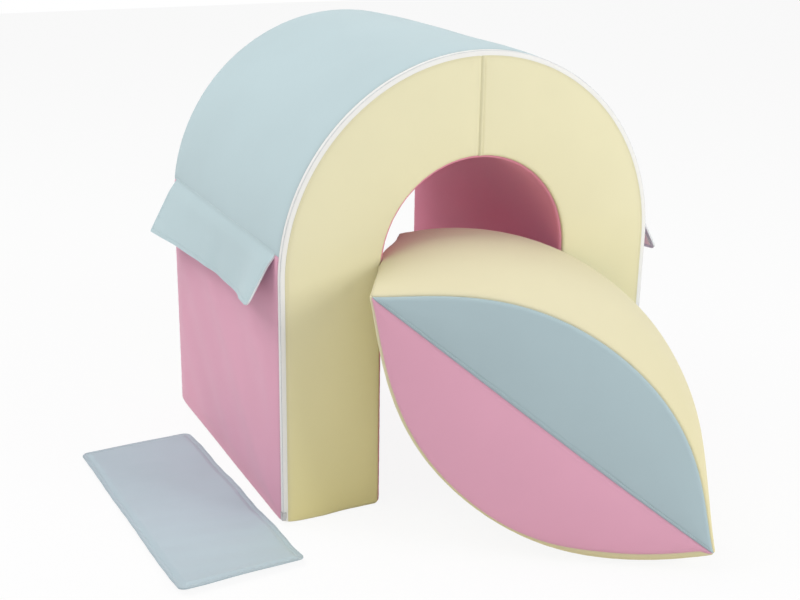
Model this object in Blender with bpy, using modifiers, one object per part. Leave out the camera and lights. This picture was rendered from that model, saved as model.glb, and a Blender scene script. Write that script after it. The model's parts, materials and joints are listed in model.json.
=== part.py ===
"""Soft play set: a foam arch, a lens-shaped rocker block leaning in its mouth, a joining strip.

Metres, +Z up. The arch's front face looks along -Y and its tunnel runs along Y. Every piece
hangs from one empty, which is moved at the end so that the origin is at the middle of the
set's plan, on the floor.
"""
import math

import bmesh
import bpy
from mathutils import Vector

# Cover fabric and the gap that touching pieces keep
FABRIC = 0.0015
GAP = 0.0003

# Arch
ARCH_WIDTH = 0.600
ARCH_DEPTH = 0.487
ARCH_SPRING_HEIGHT = 0.362   # where the outer sides turn into the round crown
TUNNEL_WIDTH = 0.292
TUNNEL_SPRING_HEIGHT = 0.365  # where the tunnel's sides turn into its round roof
ROOF_SEAM_RISE = 0.038       # from where the crown starts up to the seam of roof and sides
ARC_STEPS = 48               # straight facets in a half circle of the arch
SIDE_STEPS = 4               # facets in a side panel, from the spring line to the roof seam

# Zip round a block's edge: one tape on each face, the coil in the corner between them
ZIP_FACE_TAPE = 0.0050       # how far the tape on the flat face reaches in from the edge
ZIP_SIDE_TAPE = 0.0080       # how far the tape on the outer side reaches back from the edge
ZIP_TAPE = 0.0012            # tape thickness
ZIP_COIL = 0.0018            # coil diameter
COIL_STEPS = 72              # straight pieces in a coil's longest path

# Zip slider: an angle-shaped runner that hugs the edge
SLIDER_LENGTH = 0.012
SLIDER_LEG = 0.0050          # how far it reaches along each face
SLIDER_PLATE = 0.0014
SLIDER_FLARE = 0.0012        # how much wider its open end is than its closed end
SLIDER_STATIONS = (0.0, 0.35, 0.8, 1.0)  # shares of its length where a section is drawn
SLIDER_CHAMFER = 0.7         # share of the outer corner that stays when it is cut off
SLIDER_PARK = 0.008          # height of the slider above the floor when the zip is shut

# Flaps sewn into the roof seam
FLAP_LENGTH = 0.450
FLAP_DROP = 0.088
FLAP_SETBACK = 0.022         # from the arch's front face to the flap's front edge
FLAP_LIFT = 29.0             # degrees that a flap stands out from hanging straight down
FLAP_STANDOFF = 0.0005       # between the arch's side and the flap's rolled top edge
FLAP_HEM = 0.002             # how much shorter the lining is than the outer layer
FLAP_ROLL_STEPS = 8
HOOK_BAND_WIDTH = 0.025
HOOK_BAND = 0.0012           # thickness of a hook-and-loop band
HOOK_BAND_MARGIN = 0.007     # from a band's edge to the edge of what it is sewn to

# Rocker block: two equal arcs that meet at the tips
ROCKER_LENGTH = 0.582
ROCKER_THICKNESS = 0.291
ROCKER_WIDTH = 0.286
ROCKER_CROWN = 0.011         # how far the rim panels swell between the two faces
CROWN_FADE = 8               # power with which the swelling dies out towards the tips
RIM_STEPS = 36
RIM_ROWS = 8
ROCKER_TILT = 36.80          # degrees, high tip against the arch
ROCKER_TURN = 31.8           # degrees, clockwise from above
LEAN_GAP = 0.0004            # between the block's high tip and the left leg's inner corner
SIDE_GAP = 0.0025            # between the block's far face and the right leg's inner corner
ROCKER_SLIDER_ANGLE = 47.0   # degrees round the lower arc, towards the low tip

# Joining strip on the floor beside the arch
STRIP_WIDTH = 0.176
STRIP_LENGTH = 0.460
STRIP_CORNER = 0.012
STRIP_INSERT = 0.0015
STRIP_HEM = 0.007            # width of the sewn edge outside the insert
STRIP_SPACE = 0.0225         # clear floor between the arch's side and the strip, at its middle
STRIP_AHEAD = 0.1135         # from the arch's front face back to the strip's middle
STRIP_TURN = 3.1             # degrees, anticlockwise from above
STRIP_BAND_END = 0.013       # from the strip's short edge to the ends of its bands
CORNER_STEPS = 6

# Modelling tolerances
MERGE = 0.00001              # points closer than this are one
SMOOTH_ANGLE = 30            # degrees between facets that are shaded as one surface

# Cover colours as seen, in sRGB
BLUE = (190, 210, 215)
PINK = (210, 155, 180)
YELLOW = (228, 218, 172)
WHITE = (225, 225, 222)
GREY = (178, 180, 180)
FOAM = (236, 232, 214)
METAL = (150, 150, 152)

# Sizes that follow from the ones above
SKIN = FABRIC + GAP                                   # from a cover's outside to the foam
ARCH_RADIUS = ARCH_WIDTH / 2
TUNNEL_RADIUS = TUNNEL_WIDTH / 2
SEAM_ANGLE = math.asin(ROOF_SEAM_RISE / ARCH_RADIUS)
COIL_RADIUS = ZIP_COIL / 2
COIL_ROOM = ZIP_COIL + 2 * GAP                        # the corner left free for the coil
SLIDER_REACH = SLIDER_LEG + SLIDER_FLARE / 2          # the furthest that a slider's legs reach
ROCKER_SAG = ROCKER_THICKNESS / 2
ROCKER_HALF = ROCKER_LENGTH / 2
ROCKER_RADIUS = (ROCKER_HALF ** 2 + ROCKER_SAG ** 2) / (2 * ROCKER_SAG)
CHORD_DROP = ROCKER_RADIUS - ROCKER_SAG               # from the lower arc's centre to the chord
FLAP_ROLL = FABRIC + GAP / 2                          # radius of a flap's rolled top edge


def clear_scene():
    """Start from nothing, whatever the file held."""
    for obj in list(bpy.data.objects):
        bpy.data.objects.remove(obj, do_unlink=True)


def linear(channel):
    """One sRGB channel, 0 to 255, as the linear value that a shader takes."""
    value = channel / 255
    if value <= 0.04045:
        return value / 12.92
    return ((value + 0.055) / 1.055) ** 2.4


def finish(name, colour, roughness=0.75, metallic=0.0):
    """A plain Principled material in a piece's own colour."""
    material = bpy.data.materials.new(name)
    material.use_nodes = True
    shader = material.node_tree.nodes["Principled BSDF"]
    shader.inputs["Base Color"].default_value = (*[linear(c) for c in colour], 1.0)
    shader.inputs["Roughness"].default_value = roughness
    shader.inputs["Metallic"].default_value = metallic
    return material


def empty(name, parent, location=(0, 0, 0), rotation=(0, 0, 0)):
    """An axis or a frame that pieces hang from."""
    frame = bpy.data.objects.new(name, None)
    frame.empty_display_size = 0.05
    frame.location = location
    frame.rotation_euler = rotation
    frame.parent = parent
    PARTS.objects.link(frame)
    return frame


def piece(name, data, parent, colour, roughness=0.75, metallic=0.0):
    """Link one sub-part with its own material."""
    obj = bpy.data.objects.new(name, data)
    obj.parent = parent
    data.materials.append(finish(name, colour, roughness, metallic))
    PARTS.objects.link(obj)
    return obj


def flat_curve(name, outline, thickness):
    """A closed flat outline, thickened equally both ways."""
    curve = bpy.data.curves.new(name, "CURVE")
    curve.dimensions = "2D"
    curve.fill_mode = "BOTH"
    curve.extrude = thickness / 2
    spline = curve.splines.new("POLY")
    spline.points.add(len(outline) - 1)
    for point, (x, y) in zip(spline.points, outline):
        point.co = (x, y, 0.0, 1.0)
    spline.use_cyclic_u = True
    return curve


def slab(name, outline, front, back, parent, colour, **look):
    """An outline in the X-Z plane, from y = front to y = back."""
    obj = piece(name, flat_curve(name, outline, back - front), parent, colour, **look)
    obj.rotation_euler = (math.pi / 2, 0, 0)
    obj.location = (0, (front + back) / 2, 0)
    return obj


def sheet(name, outline, bottom, top, parent, colour, **look):
    """An outline in the X-Y plane, from z = bottom to z = top."""
    obj = piece(name, flat_curve(name, outline, top - bottom), parent, colour, **look)
    obj.location = (0, 0, (bottom + top) / 2)
    return obj


def wire(name, points, radius, parent, colour, **look):
    """A round cord through a list of points."""
    curve = bpy.data.curves.new(name, "CURVE")
    curve.dimensions = "3D"
    curve.bevel_depth = radius
    curve.bevel_resolution = 1
    curve.use_fill_caps = True
    spline = curve.splines.new("POLY")
    spline.points.add(len(points) - 1)
    for point, place in zip(spline.points, points):
        point.co = (*place, 1.0)
    return piece(name, curve, parent, colour, **look)


def arc(centre, radius, start, end, steps):
    """Points of an arc in a plane; angles turn from +X towards the second axis."""
    points = []
    for step in range(steps + 1):
        angle = start + (end - start) * step / steps
        points.append((centre[0] + radius * math.cos(angle), centre[1] + radius * math.sin(angle)))
    return points


def mirrored(outline, side):
    """The same outline on the left (-1) or the right (+1)."""
    return [(side * x, z) for x, z in outline]


# The arch's pieces are outlines in X-Z. Each is drawn on the right side, where an angle of 0
# points to +X and pi/2 is the crown, and mirrored for the left.

def half_arc(radius, spring, start, crown_gap):
    """From an angle near the spring line up to the crown, stopping short of the middle."""
    end = math.acos(crown_gap / radius)
    return arc((0, spring), radius, start, end, ARC_STEPS // 2)


def skin_outline(depth_out, depth_in, start, end, steps):
    """A strip of the round outer skin between two depths below the arch's outside."""
    outer = arc((0, ARCH_SPRING_HEIGHT), ARCH_RADIUS - depth_out, start, end, steps)
    inner = arc((0, ARCH_SPRING_HEIGHT), ARCH_RADIUS - depth_in, start, end, steps)
    return outer + inner[::-1]


def arch_outline(outer_radius, outer_spring, inner_radius, inner_spring, foot):
    """An arch shape: up one leg, over the crown and down the other, then back inside."""
    outer = arc((0, outer_spring), outer_radius, 0, math.pi, ARC_STEPS)
    inner = arc((0, inner_spring), inner_radius, math.pi, 0, ARC_STEPS)
    outline = [(outer_radius, foot)] + outer + [(-outer_radius, foot)]
    return outline + [(-inner_radius, foot)] + inner + [(inner_radius, foot)]


def edge_band(outer_inset, inner_inset, foot):
    """A strip of even width that follows the arch's outer edge from foot to foot."""
    return arch_outline(ARCH_RADIUS - outer_inset, ARCH_SPRING_HEIGHT,
                        ARCH_RADIUS - inner_inset, ARCH_SPRING_HEIGHT, foot)


def face_half_outline(outer_radius, foot):
    """One half of the front or back face, from the foot to the crown seam."""
    outer = half_arc(outer_radius, ARCH_SPRING_HEIGHT, 0, GAP / 2)
    inner = half_arc(TUNNEL_RADIUS, TUNNEL_SPRING_HEIGHT, 0, GAP / 2)
    return [(outer_radius, foot)] + outer + inner[::-1] + [(TUNNEL_RADIUS, foot)]


def side_outline(foot):
    """A side panel in section: straight up the leg, then round to the roof seam."""
    top = SEAM_ANGLE - GAP / ARCH_RADIUS
    outer = arc((0, ARCH_SPRING_HEIGHT), ARCH_RADIUS, 0, top, SIDE_STEPS)
    inner = arc((0, ARCH_SPRING_HEIGHT), ARCH_RADIUS - FABRIC, 0, top, SIDE_STEPS)
    return [(ARCH_RADIUS, foot)] + outer + inner[::-1] + [(ARCH_RADIUS - FABRIC, foot)]


def build_arch(parent):
    """The foam arch and its cover."""
    foot = SKIN
    core = arch_outline(ARCH_RADIUS - SKIN, ARCH_SPRING_HEIGHT,
                        TUNNEL_RADIUS + SKIN, TUNNEL_SPRING_HEIGHT, foot)
    slab("arch_foam_core", core, SKIN, ARCH_DEPTH - SKIN, parent, FOAM)

    skin_front = ZIP_SIDE_TAPE + GAP
    skin_back = ARCH_DEPTH - SKIN
    roof = skin_outline(0, FABRIC, SEAM_ANGLE, math.pi - SEAM_ANGLE, ARC_STEPS)
    slab("arch_roof_panel", roof, skin_front, skin_back, parent, BLUE)

    face_radius = ARCH_RADIUS - ZIP_FACE_TAPE - GAP
    for side, word in ((-1, "left"), (1, "right")):
        panel = mirrored(side_outline(foot), side)
        slab("arch_side_panel_" + word, panel, skin_front, skin_back, parent, PINK)
        front = mirrored(face_half_outline(face_radius, foot), side)
        slab("arch_front_panel_" + word, front, 0, FABRIC, parent, YELLOW)
        back = mirrored(face_half_outline(ARCH_RADIUS, foot), side)
        slab("arch_back_panel_" + word, back, ARCH_DEPTH - FABRIC, ARCH_DEPTH, parent, YELLOW)
        sole = mirrored([(TUNNEL_RADIUS, 0), (ARCH_RADIUS, 0),
                         (ARCH_RADIUS, FABRIC), (TUNNEL_RADIUS, FABRIC)], side)
        slab("arch_sole_" + word, sole, 0, ARCH_DEPTH, parent, YELLOW)

    lining = arch_outline(TUNNEL_RADIUS + FABRIC, TUNNEL_SPRING_HEIGHT,
                          TUNNEL_RADIUS, TUNNEL_SPRING_HEIGHT, foot)
    slab("arch_tunnel_lining", lining, SKIN, ARCH_DEPTH - SKIN, parent, PINK)


def build_arch_zip(parent):
    """The zip that closes the arch's cover, from foot to foot over the crown."""
    foot = SKIN
    sunk = FABRIC - ZIP_TAPE
    slab("arch_zip_tape_front", edge_band(COIL_ROOM, ZIP_FACE_TAPE, foot), sunk, FABRIC,
         parent, WHITE)
    slab("arch_zip_tape_side", edge_band(sunk, FABRIC, foot), COIL_ROOM, ZIP_SIDE_TAPE,
         parent, WHITE)

    radius = ARCH_RADIUS - COIL_RADIUS
    points = [(radius, COIL_RADIUS, foot)]
    for x, z in arc((0, ARCH_SPRING_HEIGHT), radius, 0, math.pi, COIL_STEPS):
        points.append((x, COIL_RADIUS, z))
    points.append((-radius, COIL_RADIUS, foot))
    wire("arch_zip_coil", points, COIL_RADIUS, parent, GREY, roughness=0.5)


def slider_outline(reach):
    """The runner's angle section, its inner corner just off the block's edge."""
    inner = GAP
    outer = GAP + SLIDER_PLATE
    corner = outer * SLIDER_CHAMFER
    return [(-reach, inner), (-reach, outer), (0, outer), (corner, corner),
            (outer, 0), (outer, -reach), (inner, -reach), (inner, inner)]


def build_slider(name, frame):
    """A zip slider along its frame's Z; the edge's two faces lie on -X and -Y of its axis."""
    mesh = bpy.data.meshes.new(name)
    shape = bmesh.new()
    rings = []
    for share in SLIDER_STATIONS:
        from_middle = share - 1 / 2
        reach = SLIDER_LEG + SLIDER_FLARE * from_middle
        if share in (SLIDER_STATIONS[0], SLIDER_STATIONS[-1]):
            reach -= SLIDER_FLARE / 2
        height = SLIDER_LENGTH * from_middle
        rings.append([shape.verts.new((x, y, height)) for x, y in slider_outline(reach)])
    count = len(rings[0])
    for low, high in zip(rings, rings[1:]):
        for index in range(count):
            after = (index + 1) % count
            shape.faces.new((low[index], low[after], high[after], high[index]))
    shape.faces.new(rings[0][::-1])
    shape.faces.new(rings[-1])
    bmesh.ops.recalc_face_normals(shape, faces=shape.faces)
    shape.to_mesh(mesh)
    shape.free()
    return piece(name, mesh, frame, METAL, roughness=0.35, metallic=0.9)


def build_flap(parent, side, word):
    """A double flap that turns about its rolled top edge, drawn hanging straight down."""
    along = Vector((math.cos(SEAM_ANGLE), 0, math.sin(SEAM_ANGLE)))
    reach = ARCH_RADIUS + FLAP_STANDOFF + FLAP_ROLL
    axis = (side * along.x * reach, 0, ARCH_SPRING_HEIGHT + along.z * reach)
    hinge = empty(word + "_flap_hinge", parent, axis, (0, -side * math.radians(FLAP_LIFT), 0))
    front = FLAP_SETBACK
    back = FLAP_SETBACK + FLAP_LENGTH

    # the outer layer rolls over the top and ends just behind the axis
    roll = arc((0, 0), FLAP_ROLL, 0, math.pi, FLAP_ROLL_STEPS)
    tuck = -FLAP_ROLL
    outer = [(FLAP_ROLL, -FLAP_DROP)] + roll + [(-FLAP_ROLL, tuck), (GAP / 2, tuck)]
    outer.append((GAP / 2, -FLAP_DROP))
    slab(word + "_flap_outer", mirrored(outer, side), front, back, hinge, BLUE)

    lining_top = tuck - GAP
    lining_end = FLAP_HEM - FLAP_DROP
    lining = [(-FLAP_ROLL, lining_top), (-GAP / 2, lining_top),
              (-GAP / 2, lining_end), (-FLAP_ROLL, lining_end)]
    slab(word + "_flap_lining", mirrored(lining, side), front, back, hinge, BLUE)

    band_face = -FLAP_ROLL - GAP
    band_low = HOOK_BAND_MARGIN - FLAP_DROP
    band_high = band_low + HOOK_BAND_WIDTH
    band = [(band_face - HOOK_BAND, band_high), (band_face, band_high),
            (band_face, band_low), (band_face - HOOK_BAND, band_low)]
    slab(word + "_flap_hook_band", mirrored(band, side), front + HOOK_BAND_MARGIN,
         back - HOOK_BAND_MARGIN, hinge, WHITE)


# The rocker block is drawn about the centre of its lower arc: X along the chord towards the
# low tip, Y across the width away from the near face, Z square to the chord.

def tip_angle(radius, chord_gap):
    """The angle from an arc's middle at which it comes within a gap of the chord."""
    return math.acos((CHORD_DROP + chord_gap) / radius)


def lens_point(angle, radius, upper):
    """A point of the upper or lower arc, with the angle from the arc's middle."""
    x = radius * math.sin(angle)
    z = radius * math.cos(angle)
    if upper:
        return x, z - 2 * CHORD_DROP
    return x, -z


def lens_arc(radius, limit, upper, steps=RIM_STEPS):
    """Points along one arc from the high tip to the low one."""
    points = []
    for step in range(steps + 1):
        angle = limit * (2 * step / steps - 1)
        points.append(lens_point(angle, radius, upper))
    return points


def crown_at(across, angle):
    """How far the rim swells at a place across the width and round the arc."""
    share = 2 * across / ROCKER_WIDTH - 1
    limit = tip_angle(ROCKER_RADIUS, 0)
    return ROCKER_CROWN * (1 - share ** 2) * (1 - (angle / limit) ** CROWN_FADE)


def bend_grid(shape, depth, limit, upper, front, back, rows=RIM_ROWS):
    """A flat grid bent onto one rim arc, at a depth below the cover's outside."""
    made = bmesh.ops.create_grid(shape, x_segments=RIM_STEPS, y_segments=rows, size=1)
    for vert in made["verts"]:
        angle = limit * vert.co.x
        across = front + (back - front) * (vert.co.y + 1) / 2
        radius = ROCKER_RADIUS - depth + crown_at(across, angle)
        x, z = lens_point(angle, radius, upper)
        vert.co = (x, across, z)


def rim_strip(name, upper, front, back, depth, rows, parent, colour):
    """A strip of the rim's cover, bent as a sheet and given its thickness inwards."""
    limit = tip_angle(ROCKER_RADIUS - FABRIC, GAP / 2)
    mesh = bpy.data.meshes.new(name)
    shape = bmesh.new()
    bend_grid(shape, depth, limit, upper, front, back, rows)
    if not upper:
        bmesh.ops.reverse_faces(shape, faces=shape.faces)
    shape.to_mesh(mesh)
    shape.free()
    obj = piece(name, mesh, parent, colour)
    wall = obj.modifiers.new("cover thickness", "SOLIDIFY")
    wall.thickness = FABRIC - depth
    wall.offset = -1
    return obj


def rocker_core(parent):
    """The foam lens: two bent grids joined at the tips and closed by its flat faces."""
    radius = ROCKER_RADIUS - SKIN
    limit = tip_angle(radius, 0)
    mesh = bpy.data.meshes.new("rocker_foam_core")
    shape = bmesh.new()
    for upper in (True, False):
        bend_grid(shape, SKIN, limit, upper, SKIN, ROCKER_WIDTH - SKIN)
    for vert in shape.verts:
        if abs(vert.co.z + CHORD_DROP) < GAP:
            vert.co.z = -CHORD_DROP
    bmesh.ops.remove_doubles(shape, verts=shape.verts, dist=MERGE)
    rim = [edge for edge in shape.edges if edge.is_boundary]
    bmesh.ops.holes_fill(shape, edges=rim, sides=0)
    bmesh.ops.recalc_face_normals(shape, faces=shape.faces)
    shape.to_mesh(mesh)
    shape.free()
    return piece("rocker_foam_core", mesh, parent, FOAM)


def face_outline(upper, inset):
    """Half a face: one arc closed by the chord seam."""
    radius = ROCKER_RADIUS - inset
    return lens_arc(radius, tip_angle(radius, GAP / 2), upper)


def arc_band_outline(outer_inset, inner_inset, upper, limit):
    """A strip of even width along one arc of a face."""
    outer = lens_arc(ROCKER_RADIUS - outer_inset, limit, upper)
    inner = lens_arc(ROCKER_RADIUS - inner_inset, limit, upper)
    return outer + inner[::-1]


def build_rocker(parent):
    """The rocker's foam, faces and rims."""
    rocker_core(parent)
    far = ROCKER_WIDTH - FABRIC
    for upper, word, colour in ((True, "upper", BLUE), (False, "lower", PINK)):
        near = face_outline(upper, SKIN)
        slab("rocker_near_face_" + word, near, 0, FABRIC, parent, colour)
        inset = SKIN if upper else ZIP_FACE_TAPE + GAP
        slab("rocker_far_face_" + word, face_outline(upper, inset), far, ROCKER_WIDTH,
             parent, colour)
    rim_strip("rocker_upper_rim", True, 0, ROCKER_WIDTH, 0, RIM_ROWS, parent, YELLOW)
    rim_strip("rocker_lower_rim", False, 0, ROCKER_WIDTH - ZIP_SIDE_TAPE - GAP, 0, RIM_ROWS,
              parent, YELLOW)


def build_rocker_zip(parent):
    """The zip along the far face's lower edge, out of sight from the front."""
    limit = tip_angle(ROCKER_RADIUS - ZIP_FACE_TAPE, GAP / 2)
    face = arc_band_outline(COIL_ROOM, ZIP_FACE_TAPE, False, limit)
    far = ROCKER_WIDTH - FABRIC
    slab("rocker_zip_tape_face", face, far, far + ZIP_TAPE, parent, WHITE)
    rim_strip("rocker_zip_tape_rim", False, ROCKER_WIDTH - ZIP_SIDE_TAPE,
              ROCKER_WIDTH - COIL_ROOM, FABRIC - ZIP_TAPE, 1, parent, WHITE)
    points = []
    for x, z in lens_arc(ROCKER_RADIUS - COIL_RADIUS, limit, False):
        points.append((x, ROCKER_WIDTH - COIL_RADIUS, z))
    wire("rocker_zip_coil", points, COIL_RADIUS, parent, GREY, roughness=0.5)


def rim_reach(direction):
    """How far the lower rim reaches from its arc's centre in one direction."""
    limit = tip_angle(ROCKER_RADIUS, 0)
    furthest = 0
    for step in range(RIM_STEPS + 1):
        angle = limit * step / RIM_STEPS
        radius = ROCKER_RADIUS + crown_at(ROCKER_WIDTH / 2, angle)
        furthest = max(furthest, radius * math.cos(angle - direction))
    return furthest


def rocker_place():
    """Where the lower arc's centre goes so that the block leans in the tunnel's mouth.

    The far face passes the right leg's inner corner, the swollen rim leans on the left leg's
    inner corner, and the rim touches the floor.
    """
    turn = math.radians(ROCKER_TURN)
    tilt = math.radians(ROCKER_TILT)
    across = Vector((math.sin(turn), math.cos(turn)))
    along = Vector((math.cos(turn), -math.sin(turn)))
    right_corner = Vector((TUNNEL_RADIUS, 0))
    left_corner = Vector((-TUNNEL_RADIUS, 0))
    depth = right_corner.dot(across) - ROCKER_WIDTH - SIDE_GAP
    reach = left_corner.dot(along) + rim_reach(math.pi / 2 - tilt) + LEAN_GAP
    plan = across * depth + along * reach
    return (plan.x, plan.y, ROCKER_RADIUS + ROCKER_CROWN)


def rounded_rectangle(width, length, radius):
    """A rectangle about the origin with round corners."""
    x = width / 2 - radius
    y = length / 2 - radius
    outline = []
    for quarter, (cx, cy) in enumerate(((x, y), (-x, y), (-x, -y), (x, -y))):
        start = quarter * math.pi / 2
        outline += arc((cx, cy), radius, start, start + math.pi / 2, CORNER_STEPS)
    return outline


def build_strip(parent):
    """The joining strip: two sewn layers round a thin insert, bands along its long edges."""
    base = HOOK_BAND + GAP
    outline = rounded_rectangle(STRIP_WIDTH, STRIP_LENGTH, STRIP_CORNER)
    sheet("strip_bottom_fabric", outline, base, base + FABRIC, parent, BLUE)

    inner_width = STRIP_WIDTH - 2 * STRIP_HEM
    inner_length = STRIP_LENGTH - 2 * STRIP_HEM
    inner_corner = STRIP_CORNER - STRIP_HEM
    insert_low = base + FABRIC + GAP
    insert_high = insert_low + STRIP_INSERT
    insert = rounded_rectangle(inner_width, inner_length, inner_corner)
    sheet("strip_insert", insert, insert_low, insert_high, parent, FOAM)

    # the top layer's hem turns down round the insert
    top = sheet("strip_top_fabric", outline, insert_low, insert_high + SKIN, parent, BLUE)
    solid = as_mesh(top)
    pocket_outline = rounded_rectangle(inner_width + 2 * GAP, inner_length + 2 * GAP,
                                       inner_corner + GAP)
    pocket_height = 2 * (STRIP_INSERT + GAP)
    pocket = bpy.data.objects.new("strip_pocket", flat_curve("strip_pocket", pocket_outline,
                                                             pocket_height))
    pocket.location = (0, 0, insert_low)
    pocket.parent = parent
    CUTTERS.objects.link(pocket)
    pocket = as_mesh(pocket)
    pocket.hide_render = True
    pocket.display_type = "WIRE"
    cut = solid.modifiers.new("insert pocket", "BOOLEAN")
    cut.operation = "DIFFERENCE"
    cut.object = pocket

    reach = STRIP_WIDTH / 2 - HOOK_BAND_MARGIN
    length = STRIP_LENGTH / 2 - STRIP_BAND_END
    for side, word in ((-1, "left"), (1, "right")):
        low_x = reach - HOOK_BAND_WIDTH
        band = mirrored([(low_x, -length), (reach, -length), (reach, length), (low_x, length)],
                        side)
        sheet("strip_hook_band_" + word, band, 0, HOOK_BAND, parent, WHITE)


def as_mesh(obj):
    """Replace a curve object by the mesh it draws, with its caps welded."""
    bpy.context.view_layer.update()
    graph = bpy.context.evaluated_depsgraph_get()
    mesh = bpy.data.meshes.new_from_object(obj.evaluated_get(graph))
    shape = bmesh.new()
    shape.from_mesh(mesh)
    bmesh.ops.remove_doubles(shape, verts=shape.verts, dist=MERGE)
    bmesh.ops.recalc_face_normals(shape, faces=shape.faces)
    shape.to_mesh(mesh)
    shape.free()
    name = obj.name
    solid = bpy.data.objects.new(name + " mesh", mesh)
    solid.parent = obj.parent
    solid.matrix_world = obj.matrix_world
    obj.users_collection[0].objects.link(solid)
    bpy.data.objects.remove(obj, do_unlink=True)
    solid.name = name
    return solid


def smooth_round_pieces():
    """Shade the facets of the round pieces as one surface."""
    for obj in PARTS.objects:
        if obj.type == "MESH":
            obj.data.shade_smooth()
            obj.data.set_sharp_from_angle(angle=math.radians(SMOOTH_ANGLE))


def plan_middle():
    """The middle of the whole set seen from above."""
    bpy.context.view_layer.update()
    graph = bpy.context.evaluated_depsgraph_get()
    corners = []
    for obj in PARTS.objects:
        if obj.type == "EMPTY":
            continue
        solid = obj.evaluated_get(graph)
        mesh = solid.to_mesh()
        corners += [solid.matrix_world @ vert.co for vert in mesh.vertices]
        solid.to_mesh_clear()
    xs = [corner.x for corner in corners]
    ys = [corner.y for corner in corners]
    return (min(xs) + max(xs)) / 2, (min(ys) + max(ys)) / 2


clear_scene()
PARTS = bpy.data.collections.new("foam_play_block")
CUTTERS = bpy.data.collections.new("cutters")
bpy.context.scene.collection.children.link(PARTS)
bpy.context.scene.collection.children.link(CUTTERS)

play_set = empty("play_set", None)
build_arch(play_set)
build_arch_zip(play_set)
arch_slider_frame = empty("arch_slider_frame", play_set,
                          (-ARCH_RADIUS, 0, SLIDER_PARK + SLIDER_LENGTH / 2),
                          (0, 0, math.pi))
build_slider("arch_zip_slider", arch_slider_frame)
for flap_side, flap_word in ((-1, "left"), (1, "right")):
    build_flap(play_set, flap_side, flap_word)

rocker_axis = empty("rocker_axis", play_set, rocker_place(),
                    (0, math.radians(ROCKER_TILT), -math.radians(ROCKER_TURN)))
build_rocker(rocker_axis)
build_rocker_zip(rocker_axis)
# the slider runs round the lower arc, so it swings about the arc's centre, clear of the rim's
# tape, which swells with the rim
slider_swing = empty("rocker_slider_swing", rocker_axis, (0, ROCKER_WIDTH, 0),
                     (0, math.pi / 2 - math.radians(ROCKER_SLIDER_ANGLE), 0))
rocker_slider = build_slider("rocker_zip_slider", slider_swing)
tape_rise = crown_at(ROCKER_WIDTH - SLIDER_REACH, 0) - (FABRIC - ZIP_TAPE)
rocker_slider.location = (ROCKER_RADIUS + max(tape_rise, 0), 0, 0)
strip_frame = empty("strip_frame", play_set,
                    (-ARCH_RADIUS - STRIP_SPACE - STRIP_WIDTH / 2, STRIP_AHEAD, 0),
                    (0, 0, math.radians(STRIP_TURN)))
build_strip(strip_frame)
smooth_round_pieces()

middle_x, middle_y = plan_middle()
play_set.location = (-middle_x, -middle_y, 0)
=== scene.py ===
# %% [markdown]
# # A soft play set: foam arch, rocker block and joining strip
# Three loose things made of foam and coated fabric. The foam gives the shape, and everything
# that the eye sees is the cover: flat panels, sewn edge to edge, that bulge a little between
# their seams. So the lesson has one main idea. Each panel is a grid that is laid on a block
# with soft edges, pulled in along its seams and pushed out between them.

import json
import math

import bpy
import numpy as np
from mathutils import Matrix, Vector


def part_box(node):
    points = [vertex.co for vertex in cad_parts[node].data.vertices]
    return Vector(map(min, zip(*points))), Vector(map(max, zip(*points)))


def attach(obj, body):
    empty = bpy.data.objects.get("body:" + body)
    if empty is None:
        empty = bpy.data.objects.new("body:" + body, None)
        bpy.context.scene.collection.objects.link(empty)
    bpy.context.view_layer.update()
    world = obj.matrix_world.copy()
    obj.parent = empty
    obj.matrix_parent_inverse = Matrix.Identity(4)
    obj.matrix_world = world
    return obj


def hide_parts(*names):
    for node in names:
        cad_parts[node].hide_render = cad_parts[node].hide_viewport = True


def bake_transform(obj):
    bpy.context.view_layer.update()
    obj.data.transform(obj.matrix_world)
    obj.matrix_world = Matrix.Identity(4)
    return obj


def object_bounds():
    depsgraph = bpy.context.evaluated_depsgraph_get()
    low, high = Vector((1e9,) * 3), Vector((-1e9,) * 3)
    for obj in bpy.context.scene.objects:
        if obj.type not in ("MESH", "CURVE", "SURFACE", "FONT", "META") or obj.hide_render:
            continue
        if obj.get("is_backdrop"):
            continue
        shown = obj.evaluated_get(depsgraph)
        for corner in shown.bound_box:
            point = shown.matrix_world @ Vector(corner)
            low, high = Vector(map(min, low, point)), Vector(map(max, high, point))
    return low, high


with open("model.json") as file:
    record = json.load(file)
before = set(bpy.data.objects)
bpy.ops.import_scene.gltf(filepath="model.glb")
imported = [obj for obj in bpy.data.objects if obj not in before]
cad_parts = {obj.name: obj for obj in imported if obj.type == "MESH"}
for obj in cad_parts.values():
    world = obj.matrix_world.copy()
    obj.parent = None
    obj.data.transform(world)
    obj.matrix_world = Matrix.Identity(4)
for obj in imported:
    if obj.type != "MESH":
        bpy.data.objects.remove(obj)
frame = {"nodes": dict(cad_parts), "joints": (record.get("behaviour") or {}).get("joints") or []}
cad_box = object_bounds()
print("CAD box", [round(v, 4) for corner in cad_box for v in corner])

# %% [markdown]
# ## Sizes
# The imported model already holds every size. The arch is read from its soles, its roof and its
# tunnel lining, and the rocker from its joints and the tips of its near face. Reading them
# keeps the cover on the foam when a size changes.

# %% Sizes of the arch
COVER = 0.0015               # thickness of the cover fabric
SIDE_TAPE = 0.0080           # width of the zip tape on a block's outer side
FACE_TAPE = 0.0080           # width of the zip tape on its flat face

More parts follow.
